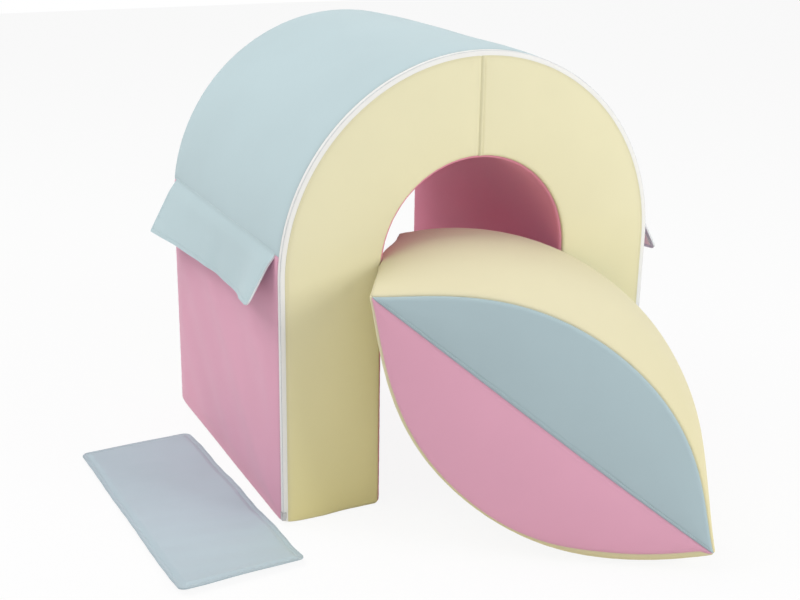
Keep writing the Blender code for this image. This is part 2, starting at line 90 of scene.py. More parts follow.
MIDDLE = (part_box("arch_sole_left")[0].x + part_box("arch_sole_right")[1].x) / 2
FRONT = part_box("arch_sole_left")[0].y
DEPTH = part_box("arch_sole_left")[1].y - FRONT
ARCH_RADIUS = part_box("arch_sole_right")[1].x - MIDDLE
TUNNEL_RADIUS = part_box("arch_sole_right")[0].x - MIDDLE
ARCH_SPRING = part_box("arch_roof_panel")[1].z - ARCH_RADIUS
TUNNEL_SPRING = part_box("arch_tunnel_lining")[1].z - COVER - TUNNEL_RADIUS
LEG = ARCH_RADIUS - TUNNEL_RADIUS
ROOF_ANGLE = math.asin((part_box("arch_roof_panel")[0].z - ARCH_SPRING) / (ARCH_RADIUS - COVER))
print("arch", round(2 * ARCH_RADIUS, 3), "wide", round(ARCH_SPRING + ARCH_RADIUS, 3), "high")

# %% Sizes of the rocker block
ROCKER_CROWN = 0.011         # how far the rims swell between the two faces
CROWN_FADE = 8               # power with which the swelling dies out at the tips
SKIN = 0.0018                # from the cover's outside to the edge of a face panel


def points_of(node):
    """A node's points as an array."""
    return np.array([vert.co for vert in frame["nodes"][node].data.vertices])


joints = {joint["name"]: joint for joint in frame["joints"]}
ROCKER_CENTRE = np.array(joints["rocker_roll"]["pos_m"])    # centre of the lower arc, near face
rocker_across = np.array(joints["rocker_zip_run"]["pos_m"]) - ROCKER_CENTRE
ROCKER_WIDTH = float(np.linalg.norm(rocker_across))
ROCKER_Y = rocker_across / ROCKER_WIDTH                     # from the near face to the far one
near_face = points_of("rocker_near_face_upper")
level = np.array([ROCKER_Y[1], -ROCKER_Y[0], 0.0])
high_tip = near_face[np.argmin(near_face @ level)]
low_tip = near_face[np.argmin(near_face[:, 2])]
tip_to_tip = low_tip - high_tip
ROCKER_X = tip_to_tip - ROCKER_Y * (tip_to_tip @ ROCKER_Y)  # along the chord, down to the floor
ROCKER_X /= np.linalg.norm(ROCKER_X)
ROCKER_Z = np.cross(ROCKER_X, ROCKER_Y)
ROCKER_AXES = np.stack([ROCKER_X, ROCKER_Y, ROCKER_Z])
CHORD_DROP = float((ROCKER_CENTRE - high_tip) @ ROCKER_Z)
ROCKER_RADIUS = math.hypot(float((low_tip - ROCKER_CENTRE) @ ROCKER_X), CHORD_DROP) + SKIN
TIP_ANGLE = math.acos(CHORD_DROP / ROCKER_RADIUS)
print("rocker", round(2 * ROCKER_RADIUS * math.sin(TIP_ANGLE), 3), "long,",
      round(2 * (ROCKER_RADIUS - CHORD_DROP), 3), "thick")

# %% [markdown]
# ## Camera
# The camera stands where the photographer stood, off the left front corner and above it. Its
# place and angles were worked out from the arch's straight edges. They are given from the
# middle of the arch's front, so they hold wherever the arch stands in the frame.

# %% Camera
CAMERA_PLACE = Vector((-0.8910, -1.5552, 0.924))            # from the arch's front, on the floor
CAMERA_YAW = 26.40           # degrees from +Y towards +X
CAMERA_PITCH = 19.26         # degrees down
CAMERA_ROLL = 0.956          # degrees
FOCAL_PIXELS = 1302.08       # focal length for a picture 800 pixels wide
PICTURE_WIDTH = 800
SENSOR = 36.0                # millimetres


def aim(yaw, pitch, roll):
    """The camera's turn from its three angles, in degrees."""
    yaw, pitch, roll = (math.radians(angle) for angle in (yaw, pitch, roll))
    forward = Vector((math.sin(yaw) * math.cos(pitch), math.cos(yaw) * math.cos(pitch),
                      -math.sin(pitch)))
    right = Vector((math.cos(yaw), -math.sin(yaw), 0))
    up = right.cross(forward)
    leaned_right = math.cos(roll) * right + math.sin(roll) * up
    leaned_up = -math.sin(roll) * right + math.cos(roll) * up
    return Matrix((leaned_right, leaned_up, -forward)).transposed()


camera = bpy.data.objects.new("camera", bpy.data.cameras.new("camera"))
camera.data.sensor_width = SENSOR
camera.data.lens = FOCAL_PIXELS * SENSOR / PICTURE_WIDTH
camera.data.clip_start = 0.05
camera.matrix_world = (Matrix.Translation(CAMERA_PLACE + Vector((MIDDLE, FRONT, 0)))
                       @ aim(CAMERA_YAW, CAMERA_PITCH, CAMERA_ROLL).to_4x4())
bpy.context.scene.collection.objects.link(camera)
bpy.context.scene.camera = camera
bpy.context.scene.view_settings.view_transform = "Standard"
print("lens", round(camera.data.lens, 1), "mm")

# %% [markdown]
# ## Shader maths
# A node tree is a formula drawn as boxes. This small class lets it be written as a formula
# again: a sum or a product of two sockets adds the Math node that works it out, and its method
# node adds any other kind.


# %% A socket that can be added and multiplied
class Socket:
    """One output of a node tree, with the arithmetic that the finishes below need."""

    def __init__(self, tree, output=None):
        self.tree = tree
        self.output = output

    def node(self, kind, settings=None, sockets=None, output=0):
        """Add a node: its settings are made first, then its sockets are set or linked."""
        made = self.tree.nodes.new(kind)
        for name, value in (settings or {}).items():
            setattr(made, name, value)
        for key, value in (sockets or {}).items():
            self.feed(made.inputs[key], value)
        return Socket(self.tree, made.outputs[output] if made.outputs else None)

    def feed(self, socket, value):
        """Link a value from the tree to a socket, or set the socket to a plain value."""
        if isinstance(value, Socket):
            self.tree.links.new(value.output, socket)
        else:
            socket.default_value = value

    def math(self, operation, *values):
        return self.node("ShaderNodeMath", {"operation": operation}, dict(enumerate(values)))

    def __add__(self, other):
        return self.math("ADD", self, other)

    def __radd__(self, other):
        return self.math("ADD", other, self)

    def __sub__(self, other):
        return self.math("SUBTRACT", self, other)

    def __rsub__(self, other):
        return self.math("SUBTRACT", other, self)

    def __mul__(self, other):
        return self.math("MULTIPLY", self, other)

    def __rmul__(self, other):
        return self.math("MULTIPLY", other, self)

    def sine(self):
        return self.math("SINE", self)

    def clamped(self):
        return self.math("MINIMUM", self.math("MAXIMUM", self, 0.0), 1.0)

    def mix(self, first, second):
        """A colour between two others, with this value as the share of the second."""
        return self.node("ShaderNodeMix", {"data_type": "RGBA"}, {0: self, 6: first, 7: second}, 2)


# %% [markdown]
# ## Studio
# The photograph was taken on white, under broad soft light from the right and above. The world
# lights everything evenly, and one large lamp on the right gives the faces their different
# tones. A weaker one in front keeps the near faces open, and two from above, one of them on
# the left, lift the roof and the left side. The floor is pale. To the camera it also glows,
# so that it turns white and keeps only a faint shadow.

# %% World, floor and lamps
WORLD_STRENGTH = 0.47
FLOOR_GLOW = 0.90            # share of the floor that the camera sees as plain white
FLOOR_REACH = 6.0            # half the floor's width
WHITE = (1.0, 1.0, 1.0, 1.0)
SET_MIDDLE = (0.05, 0.0, 0.3)


def seen_directly(paint):
    """1 for rays from the camera and for those seen in gloss or through glass, else 0."""
    total = 0
    for name in ("Is Camera Ray", "Is Glossy Ray", "Is Transmission Ray"):
        total = total + paint.node("ShaderNodeLightPath", output=name)
    return total.clamped()


def make_world():
    """Even white light, and a white backdrop for the camera."""
    world = bpy.data.worlds.new("studio")
    world.use_nodes = True
    world.node_tree.nodes.clear()
    paint = Socket(world.node_tree)
    lit = paint.node("ShaderNodeBackground", sockets={0: WHITE, 1: WORLD_STRENGTH})
    shown = paint.node("ShaderNodeBackground", sockets={0: WHITE, 1: 1.0})
    both = paint.node("ShaderNodeMixShader", sockets={0: seen_directly(paint), 1: lit, 2: shown})
    paint.node("ShaderNodeOutputWorld", sockets={0: both})
    bpy.context.scene.world = world


def make_floor():
    """A wide pale floor."""
    reach = FLOOR_REACH
    mesh = bpy.data.meshes.new("studio_floor")
    mesh.from_pydata([(-reach, -reach, 0), (reach, -reach, 0), (reach, reach, 0),
                      (-reach, reach, 0)], [], [(0, 1, 2, 3)])
    floor = bpy.data.objects.new("studio_floor", mesh)
    bpy.context.scene.collection.objects.link(floor)
    material = bpy.data.materials.new("studio_floor")
    material.use_nodes = True
    material.node_tree.nodes.clear()
    paint = Socket(material.node_tree)
    matt = paint.node("ShaderNodeBsdfDiffuse", sockets={0: (0.86, 0.86, 0.86, 1.0)})
    glow = paint.node("ShaderNodeEmission", sockets={0: WHITE, 1: 1.0})
    share = seen_directly(paint) * FLOOR_GLOW
    both = paint.node("ShaderNodeMixShader", sockets={0: share, 1: matt, 2: glow})
    paint.node("ShaderNodeOutputMaterial", sockets={0: both})
    mesh.materials.append(material)
    floor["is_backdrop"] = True


def make_lamp(name, place, size, power):
    """A square soft lamp that looks at the middle of the set."""
    data = bpy.data.lights.new(name, "AREA")
    data.size = size
    data.energy = power
    lamp = bpy.data.objects.new(name, data)
    lamp.location = place
    lamp.rotation_euler = (Vector(SET_MIDDLE) - lamp.location).to_track_quat("-Z", "Y").to_euler()
    bpy.context.scene.collection.objects.link(lamp)


make_world()
make_floor()
make_lamp("key", (2.3, -2.6, 1.7), 1.6, 58)
make_lamp("front", (-1.2, -2.6, 2.4), 2.2, 11)
make_lamp("left_top", (-1.8, 0.7, 2.8), 2.0, 40)
make_lamp("top", (-0.3, 0.6, 3.2), 2.0, 10)
print(len(bpy.data.lights), "lamps")

# %% [markdown]
# ## Finishes
# The cover is a coated woven fabric: matt, with a fine plain weave that only shows close up, a
# little uneven in tone, and slightly darker beside the seams. Its weave follows the cloth, so it
# reads the UV map, which is in metres along and across each panel.
# The attribute called seam says how near a point is to a seam. Some colours hold painted shade:
# the rocker's faces have a deeper blue than the roof, the rocker's rim a deeper yellow than the
# arch, and the tunnel's lining a deeper pink than the sides, which stand in for the shade on those
# parts. The strip has a slightly deeper blue than the roof.

# %% Cover fabric
WEAVE = 0.0011               # width of a pair of threads
BLUE = (0.506, 0.635, 0.665)
# Painted shade: the rocker's blue is kept deeper than the roof's, for the shade on its faces.
SHADED_ROCKER_BLUE = (0.422, 0.540, 0.575)
STRIP_BLUE = (0.470, 0.575, 0.625)
PINK = (0.800, 0.400, 0.530)
# Painted shade: the lining's pink is kept deeper than the sides', for the shade inside the tunnel.
SHADED_LINING_PINK = (0.830, 0.305, 0.430)
YELLOW = (0.815, 0.765, 0.510)
# Painted shade: the yellows grow deeper towards the floor, up to the height below.
SHADED_LOW_YELLOW = (0.840, 0.755, 0.370)
# Painted shade: the rim's yellow is kept deeper than the arch's, and deeper still near the floor.
SHADED_RIM_TONE = (0.750, 0.698, 0.488)
SHADED_LOW_RIM_TONE = (0.775, 0.695, 0.355)
LOW_SHADE_TOP = 0.42           # height from which the yellow is at its palest


def shade(colour, factor):
    """A colour made darker or lighter, with its alpha."""
    return (*[min(1.0, channel * factor) for channel in colour], 1.0)


def start_material(name):
    """A new material, the start of its node formulas, and its Principled node."""
    material = bpy.data.materials.new(name)
    material.use_nodes = True
    return material, Socket(material.node_tree), material.node_tree.nodes["Principled BSDF"]


def noise(paint, scale, detail=2.0):
    """Noise fixed to the object, from 0 to 1."""
    place = paint.node("ShaderNodeTexCoord", output="Object")
    return paint.node("ShaderNodeTexNoise",
                      sockets={"Vector": place, "Scale": scale, "Detail": detail})


def cloth_waves(paint, axis, pitch):
    """Threads or ribs across one direction of the cloth, from 0 to 1."""
    place = paint.node("ShaderNodeUVMap", {"uv_map": "cloth"})
    along = paint.node("ShaderNodeSeparateXYZ", sockets={0: place}, output=axis)
    return (along * (2 * math.pi / pitch)).sine() * 0.5 + 0.5


def bump(paint, height, distance, strength):
    """A normal from a height that is distance metres at 1."""
    return paint.node("ShaderNodeBump",
                      sockets={"Height": height, "Distance": distance, "Strength": strength})


def cover_fabric(name, colour, shaded_low_colour=None):
    """Coated woven fabric in one colour, or in one that grows deeper towards the floor as painted
    shade.
    """
    material, paint, shader = start_material(name)
    cloudy = noise(paint, 7.0, 3.0)
    grain = noise(paint, 900.0)
    near_seam_share = paint.node("ShaderNodeAttribute", {"attribute_name": "seam"}, output="Fac")
    worn = cloudy.mix(shade(colour, 0.955), shade(colour, 1.035))
    # Deeper towards the floor: painted shade.
    if shaded_low_colour:
        place = paint.node("ShaderNodeTexCoord", output="Object")
        height = paint.node("ShaderNodeSeparateXYZ", sockets={0: place}, output="Z")
        out_of_low_shade = (height * (1 / LOW_SHADE_TOP)).clamped()
        worn = out_of_low_shade.mix(shade(shaded_low_colour, 1.0), worn)
    # Darker beside the seams. The tone mixed in here also holds the painted shade near the floor.
    seam_darkened = (near_seam_share * 0.7 * (cloudy * 0.6 + 0.5)).clamped().mix(worn, shade(colour, 0.80))
    paint.feed(shader.inputs["Base Color"], (grain * 0.10).mix(seam_darkened, shade(colour, 0.82)))
    paint.feed(shader.inputs["Roughness"], 0.54 + cloudy * 0.10 + grain * 0.08)
    weave = cloth_waves(paint, "X", WEAVE) * cloth_waves(paint, "Y", WEAVE)
    paint.feed(shader.inputs["Normal"], bump(paint, weave * 0.6 + grain * 0.4, 0.00012, 0.55))
    shader.inputs["Specular IOR Level"].default_value = 0.34
    shader.inputs["Sheen Weight"].default_value = 0.10
    shader.inputs["Sheen Roughness"].default_value = 0.45
    return material


# %% [markdown]
# The small parts have finishes of their own: a ribbed white tape, a grey nylon coil, a painted
# metal slider, sewing thread, the looped hook band and, inside, yellowish foam. The flaps' cut
# edges get a pale ribbed finish, a painted highlight.


# %% Small finishes
def ribbed_tape(name, colour, rib):
    """Woven tape with ribs along it, their hollows painted darker as shade."""
    material, paint, shader = start_material(name)
    ribs = cloth_waves(paint, "Y", rib)
    picks = cloth_waves(paint, "X", 0.0009)
    cloudy = noise(paint, 30.0, 3.0)
    # Rib crests lighter and hollows darker: painted shade, with random tone from the noise.
    tone = (ribs * 0.45 + cloudy * 0.35).mix(shade(colour, 0.92), shade(colour, 1.04))
    paint.feed(shader.inputs["Base Color"], tone)
    paint.feed(shader.inputs["Roughness"], 0.66 + cloudy * 0.14)
    paint.feed(shader.inputs["Normal"], bump(paint, ribs * 0.6 + picks * 0.4, 0.00016, 0.7))
    return material


def nylon(name, colour, roughness):
    """Nylon with faint mottling."""
    material, paint, shader = start_material(name)
    cloudy = noise(paint, 260.0)
    paint.feed(shader.inputs["Base Color"], cloudy.mix(shade(colour, 0.88), shade(colour, 1.08)))
    paint.feed(shader.inputs["Roughness"], roughness + cloudy * 0.12)
    paint.feed(shader.inputs["Normal"], bump(paint, cloudy, 0.00005, 0.4))
    return material


def painted_metal(name, colour):
    """Die-cast metal under paint that has worn on its edges."""
    material, paint, shader = start_material(name)
    cloudy = noise(paint, 420.0, 4.0)
    edge = paint.node("ShaderNodeNewGeometry", output="Pointiness")
    worn = (edge * 6.0 - 3.15 + cloudy * 0.4).clamped()
    paint.feed(shader.inputs["Base Color"], worn.mix(shade(colour, 1.0), shade((0.6, 0.6, 0.6), 1)))
    paint.feed(shader.inputs["Metallic"], worn * 0.7 + 0.2)
    paint.feed(shader.inputs["Roughness"], 0.30 + cloudy * 0.16)
    paint.feed(shader.inputs["Normal"], bump(paint, cloudy, 0.00004, 0.5))
    return material


def open_foam(name, colour):
    """Foam with open cells, their hollows painted darker as shade."""
    material, paint, shader = start_material(name)
    place = paint.node("ShaderNodeTexCoord", output="Object")
    cells = paint.node("ShaderNodeTexVoronoi", {"feature": "DISTANCE_TO_EDGE"},
                       {"Vector": place, "Scale": 620.0})
    wall = (cells * 5.0).clamped()
    # Painted shade: the cells' hollows are darker than their walls.
    paint.feed(shader.inputs["Base Color"], wall.mix(shade(colour, 1.0), shade(colour, 0.72)))
    paint.feed(shader.inputs["Roughness"], 0.95 - wall * 0.1)
    paint.feed(shader.inputs["Normal"], bump(paint, 1.0 - wall, 0.0006, 0.8))
    return material


blue_cover = cover_fabric("blue_cover", BLUE)
pink_cover = cover_fabric("pink_cover", PINK)
# The lining's deeper pink is painted shade.
lining_cover = cover_fabric("lining_cover", SHADED_LINING_PINK)
# The rocker's deeper blue is painted shade.
shaded_rocker_cover = cover_fabric("rocker_blue_cover", SHADED_ROCKER_BLUE)
strip_cover = cover_fabric("strip_blue_cover", STRIP_BLUE)
yellow_cover = cover_fabric("yellow_cover", YELLOW, SHADED_LOW_YELLOW)
# The rim's deeper yellow is painted shade.
shaded_rim_cover = cover_fabric("rim_yellow_cover", SHADED_RIM_TONE, SHADED_LOW_RIM_TONE)
# Painted highlight: the flaps' edges are pale for the light they catch.
cut_edge = ribbed_tape("cut_edge", (0.74, 0.78, 0.79), 0.0013)
zip_tape = ribbed_tape("zip_tape", (0.90, 0.895, 0.87), 0.0013)
hook_tape = ribbed_tape("hook_tape", (0.74, 0.74, 0.72), 0.0021)
coil_nylon = nylon("coil_nylon", (0.80, 0.82, 0.83), 0.38)
slider_paint = painted_metal("slider_paint", (0.22, 0.22, 0.23))
foam = open_foam("foam", (0.84, 0.80, 0.62))
blue_thread = nylon("blue_thread", (0.50, 0.63, 0.66), 0.62)
pink_thread = nylon("pink_thread", (0.60, 0.31, 0.44), 0.62)
yellow_thread = nylon("yellow_thread", (0.74, 0.68, 0.43), 0.62)
print(len(bpy.data.materials), "finishes")

# %% [markdown]
# ## Soft grids
# Each panel starts as a grid of points on the block's sharp outline. Three steps turn it into
# cloth. The edges are rounded: a point is first clamped into a smaller block, and then pushed
# out from there by the edge radius. The seams are pulled in and the middle is pushed out. And
# the grid gets a thickness, so that it is a closed shell as a real panel is.

# %% Spacing and smooth steps
FINE = 0.0014                # grid spacing along the seams
COARSE = 0.0055              # grid spacing elsewhere
FINE_BAND = 0.0140           # width of the strip with the fine spacing


def stations(length, fine=FINE, coarse=COARSE):
    """Places along a length, close together near both ends."""
    if length < 2 * FINE_BAND + coarse:
        return np.linspace(0, length, max(2, math.ceil(length / fine)) + 1)
    ends = np.arange(0, FINE_BAND, fine)
    count = round((length - 2 * FINE_BAND) / coarse)
    middle = np.linspace(FINE_BAND, length - FINE_BAND, count + 1)
    return np.concatenate([ends, middle, length - ends[::-1]])


def smooth(value, low, high):
    """A soft step from 0 to 1."""
    share = np.clip((value - low) / (high - low), 0, 1)
    return share * share * (3 - 2 * share)


def hump(value, middle, width):
    """A soft hump of height 1."""
    return np.exp(-((value - middle) / width) ** 2)


print(len(stations(DEPTH)), "places through the arch's depth")

# %% [markdown]
# ### What a seam does to the cloth
# A seam pulls the cloth in. A folded hem and a lapped seam carry a row of stitches, which lies
# in a shallow dip, and fine gathers run out from every border. Each of these is a small height
# that follows from the distance to the border and the way along it, so one function can add
# them all up.

# %% Seams, folds, laps and puckers
SEAM_DEPTH = 0.0013          # how far a seam pulls the cloth in
SEAM_WIDTH = 0.0022
PILLOW_REACH = 0.026         # how soon the cloth swells up beside a seam
FOLD_STITCH = 0.0026         # from a folded edge to its row of stitches
LAP = 0.0052                 # from a lapped seam to the edge of the cloth under it
LAP_ROW = LAP + 0.0008       # from a lapped seam to its row of stitches
LAP_HEIGHT = 0.0006
STITCH_DIP = 0.0005
STITCH_SPREAD = 0.0010
PUCKER_PITCHES = (0.011, 0.018, 0.029)
PUCKER_REACH = 0.012
SWELLS = 6
SWELL_LENGTH = 0.17
SEAM_DARKENING_REACH = 0.004
SLACK_FADE = 0.045           # distance from a seam over which loose folds come up


def swell(points, seed):
    """Slow random unevenness over a surface, within about 1 either way."""
    random = np.random.default_rng(seed)
    total = np.zeros(points.shape[:-1])
    for _ in range(SWELLS):
        direction = random.normal(size=3)
        length = SWELL_LENGTH * random.uniform(0.7, 1.4)
        direction *= 2 * math.pi / (length * np.linalg.norm(direction))
        total += np.sin(points @ direction + random.uniform(0, 2 * math.pi))
    return total / math.sqrt(SWELLS)


def puckers(along, distance, seed):
    """Fine gathers that run out from a seam and die away."""
    random = np.random.default_rng(seed)
    total = 0
    for pitch in PUCKER_PITCHES:
        total = total + np.sin(along * 2 * math.pi / pitch + random.uniform(0, 2 * math.pi))
    fade = np.exp(-distance / PUCKER_REACH) * (1 - np.exp(-distance / SEAM_WIDTH))
    return total / len(PUCKER_PITCHES) * fade


def relief(points, borders, pillow, seed, uneven=0.0006, gathers=0.00035, slack=0):
    """Height of the cloth over the block, and how near each point is to a seam.

    A border is its kind, the distance to it, and the way along it. Slack is a height that
    comes up away from the borders.
    """
    near = np.minimum.reduce([distance for _, distance, _ in borders])
    swollen = 1 - np.exp(-near / PILLOW_REACH)
    height = swollen * (pillow + uneven * swell(points, seed)) + slack * smooth(near, 0, SLACK_FADE)
    dip = np.zeros_like(near)
    for number, (kind, distance, along) in enumerate(borders):
        height = height + gathers * puckers(along, distance, seed + number)
        if kind == "flush":
            continue
        if kind == "fold":
            dip = np.maximum(dip, STITCH_DIP * hump(distance, FOLD_STITCH, STITCH_SPREAD))
            continue
        dip = np.maximum(dip, SEAM_DEPTH * hump(distance, 0, SEAM_WIDTH))
        if kind == "lap":
            ridge = smooth(distance, 0.0008, 0.0024)
            ridge = ridge * (1 - smooth(distance, LAP - 0.001, LAP + 0.001))
            height = height + LAP_HEIGHT * ridge
            dip = np.maximum(dip, STITCH_DIP * hump(distance, LAP_ROW, STITCH_SPREAD))
    return height - dip, np.exp(-near / SEAM_DARKENING_REACH)


# %% [markdown]
# ### Cloth has two sides
# A bare surface has no edge and no inside. A Solidify modifier could give it a thickness, but
# the way outwards is known at every point already, so the inner copy and the rim between are
# made at once. The weave's map and the closeness to a seam go on both copies.

# %% From a grid to a closed shell
CLOTH = 0.0012               # modelled thickness of a panel


def shell(name, points, outward, cloth, seam, thickness=CLOTH):
    """A closed sheet: the grid outside, a copy one thickness further in, and a rim between."""
    rows, columns = points.shape[:2]
    count = rows * columns
    both = np.concatenate([points, points - outward * thickness]).reshape(-1, 3)
    index = np.arange(count).reshape(rows, columns)
    quads = np.stack([index[:-1, :-1], index[1:, :-1], index[1:, 1:], index[:-1, 1:]], -1)
    quads = quads.reshape(-1, 4)
    border = np.concatenate([index[:-1, 0], index[-1, :-1], index[:0:-1, -1], index[0, :0:-1]])
    after = np.roll(border, -1)
    rim = np.stack([after, border, border + count, after + count], -1)
    faces = np.concatenate([quads, quads[:, ::-1] + count, rim])
    turned = np.cross(np.gradient(points, axis=0), np.gradient(points, axis=1))
    if np.sum(turned * outward) < 0:
        faces = faces[:, ::-1]
    mesh = bpy.data.meshes.new(name)
    mesh.from_pydata(both.tolist(), [], faces.tolist())
    mesh["rim_faces"] = len(rim)
    finish_mesh(mesh, np.tile(cloth.reshape(-1, 2), (2, 1)), np.tile(seam.ravel(), 2))
    return mesh


def finish_mesh(mesh, cloth, seam):
    """Smooth shading, the cloth's own map in metres, and how near each point is to a seam."""
    corners = np.empty(len(mesh.loops), dtype=np.int32)
    mesh.loops.foreach_get("vertex_index", corners)
    layer = mesh.uv_layers.new(name="cloth")
    layer.uv.foreach_set("vector", cloth[corners].astype(np.float32).ravel())
    closeness = mesh.attributes.new("seam", "FLOAT", "POINT")
    closeness.data.foreach_set("value", seam.astype(np.float32))
    mesh.shade_smooth()
    mesh.set_sharp_from_angle(angle=math.radians(50))


def add_piece(name, mesh, material, body, nodes=(), rim_material=None):
    """Put a finished mesh in the scene, standing for its nodes, and on its body if it has one."""
    piece = bpy.data.objects.new(name, mesh)
    mesh.materials.clear()
    mesh.materials.append(material)
    if rim_material:
        mesh.materials.append(rim_material)
        for face in mesh.polygons[len(mesh.polygons) - mesh["rim_faces"]:]:
            face.material_index = 1
    bpy.context.scene.collection.objects.link(piece)
    if body:
        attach(piece, body)
    if nodes:
        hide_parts(*nodes)
    print(name, len(mesh.polygons), "faces")
    return piece


# %% [markdown]
# ## Cloth that was sewn on askew
# The side panels show broad, slanting folds, because each cover was pulled over its foam a
# little askew and has more cloth than it needs. A cloth simulation finds such folds by itself.
# A flat sheet is cut too large and skewed. A shape key then pulls its held border onto the
# true rectangle, and the cloth between has to buckle. The foam behind lets the folds stand out
# by only a part of their free height.

# %% A sheet that is cut too large
CUT_PITCH = 0.009            # grid of the simulated sheet
LOOSE = 0.004                # how much too large the sheet is cut
UNEVEN_START = 0.0004        # tiny bumps that let a flat sheet begin to buckle
PULL_FRAMES = 12             # frames in which its border is pulled onto the rectangle


def cut_sheet(length, width, askew, seed):
    """A flat sheet cut too large, with a shape key that fits its border to the rectangle."""
    along, across = np.meshgrid(np.linspace(0, length, round(length / CUT_PITCH) + 1),
                                np.linspace(0, width, round(width / CUT_PITCH) + 1),
                                indexing="ij")
    uneven = np.random.default_rng(seed).normal(scale=UNEVEN_START, size=along.shape)
    fitted = np.stack([along, across, uneven], -1)
    cut = fitted * np.array([1 + LOOSE, 1 + LOOSE, 1.0])
    cut[..., 0] += askew * (cut[..., 1] - width / 2)
    index = np.arange(along.size).reshape(along.shape)
    quads = np.stack([index[:-1, :-1], index[1:, :-1], index[1:, 1:], index[:-1, 1:]], -1)
    mesh = bpy.data.meshes.new("slack_sheet")
    mesh.from_pydata(cut.reshape(-1, 3).tolist(), [], quads.reshape(-1, 4).tolist())
    sheet = bpy.data.objects.new("slack_sheet", mesh)
    bpy.context.scene.collection.objects.link(sheet)
    border = np.concatenate([index[0], index[-1], index[1:-1, 0], index[1:-1, -1]])
    sheet.vertex_groups.new(name="held").add(border.tolist(), 1.0, "REPLACE")
    sheet.shape_key_add(name="cut")
    key = sheet.shape_key_add(name="fitted")
    key.data.foreach_set("co", fitted.ravel())
    for moment, share in ((1, 0.0), (PULL_FRAMES, 1.0)):
        key.value = share
        key.keyframe_insert("value", frame=moment)
    return sheet, along.shape


# %% [markdown]
# ### Letting the sheet settle
# The solver runs frame by frame, and only the heights of the last frame are kept. They come
# down to what the foam behind allows, and they are blurred a little, so that the coarse grid
# of the sheet doesn't show. A panel reads them at its own, finer points.

# %% Folds from the simulation
SETTLE_FRAMES = 24
FOAM_HOLDS = 0.60            # share of the free height that is left over foam
BLURS = 3
COATED_CLOTH = {"quality": 6, "mass": 0.3, "tension_stiffness": 20, "compression_stiffness": 20,
                "shear_stiffness": 12, "bending_stiffness": 15, "air_damping": 3,
                "vertex_group_mass": "held", "use_pressure": True, "uniform_pressure_force": 0.5}


def folds(length, width, askew, seed):
    """Heights of the folds on a grid over the rectangle."""
    sheet, size = cut_sheet(length, width, askew, seed)
    cloth = sheet.modifiers.new("cloth", "CLOTH")
    cloth.point_cache.frame_end = SETTLE_FRAMES
    for setting, value in COATED_CLOTH.items():
        setattr(cloth.settings, setting, value)
    cloth.settings.effector_weights.gravity = 0
    cloth.collision_settings.use_self_collision = False
    for moment in range(1, SETTLE_FRAMES + 1):
        bpy.context.scene.frame_set(moment)
    settled = sheet.evaluated_get(bpy.context.evaluated_depsgraph_get()).data
    places = np.empty(3 * size[0] * size[1])
    settled.vertices.foreach_get("co", places)
    bpy.data.objects.remove(sheet)
    bpy.context.scene.frame_set(1)
    height = places.reshape(*size, 3)[..., 2] * FOAM_HOLDS
    for _ in range(BLURS):
        height[1:-1] = (height[:-2] + 2 * height[1:-1] + height[2:]) / 4
        height[:, 1:-1] = (height[:, :-2] + 2 * height[:, 1:-1] + height[:, 2:]) / 4
    print("folds from", round(height.min() * 1000, 2), "to", round(height.max() * 1000, 2), "mm")
    return height


def folds_at(height, along_share, across_share):
    """The folds read at places given from 0 to 1 in both directions."""
    row = along_share * (height.shape[0] - 1)
    column = across_share * (height.shape[1] - 1)
    low_row = np.clip(row.astype(int), 0, height.shape[0] - 2)
    low_column = np.clip(column.astype(int), 0, height.shape[1] - 2)
    up, right = row - low_row, column - low_column
    near, far = (height[line, low_column] * (1 - right) + height[line, low_column + 1] * right
                 for line in (low_row, low_row + 1))
    return near * (1 - up) + far * up


# %% [markdown]
# ## The arch's soft edges
# The zip edge is crisp, because the coil lies right on it. The edges round the tunnel are the
# softest. The radius slides from one value to the other across the faces, where it has no
# effect, so the rounding never jumps.

# %% Rounding the arch
ARCH_ORIGIN = np.array([MIDDLE, FRONT, 0.0])
ZIP_EDGE = 0.0022
BACK_EDGE = 0.0060
TUNNEL_EDGE = 0.0085
FOOT_LIFT = (0.0075, 0.0110)  # how far the outer corners of the feet stand off the floor
FOOT_REACH = 0.0090
FOOT_HEIGHT = 0.03           # height over which that lift dies out


def soften_arch(sharp):
    """Points of the sharp arch moved onto its rounded edges, and the way outwards there."""
    x, y, z = np.moveaxis(sharp, -1, 0)
    bore = np.hypot(x, np.maximum(z - TUNNEL_SPRING, 0))
    reach = np.hypot(x, np.maximum(z - ARCH_SPRING, 0))
    outside = smooth((bore - TUNNEL_RADIUS) / LEG, 0.35, 0.65)
    behind = smooth(y / DEPTH, 0.3, 0.7)
    edge = outside * (ZIP_EDGE + (BACK_EDGE - ZIP_EDGE) * behind) + (1 - outside) * TUNNEL_EDGE
    far_out = outside > 0.5
    pull = np.where(far_out, np.minimum(1, (ARCH_RADIUS - edge) / reach),
                    np.maximum(1, (TUNNEL_RADIUS + edge) / bore))
    above = np.maximum(z - np.where(far_out, ARCH_SPRING, TUNNEL_SPRING), 0)
    inner = np.stack([x * pull, np.clip(y, edge, DEPTH - edge),
                      np.maximum(z - above + above * pull, edge)], -1)
    outward = sharp - inner
    outward /= np.linalg.norm(outward, axis=-1, keepdims=True)
    soft = inner + outward * edge[..., None]
    from_corner = np.hypot(ARCH_RADIUS - np.abs(x), np.minimum(y, DEPTH - y))
    lift = np.where(y < DEPTH / 2, FOOT_LIFT[0], FOOT_LIFT[1]) * np.exp(-from_corner / FOOT_REACH)
    soft[..., 2] += lift * np.clip(1 - z / FOOT_HEIGHT, 0, 1)
    return soft, outward


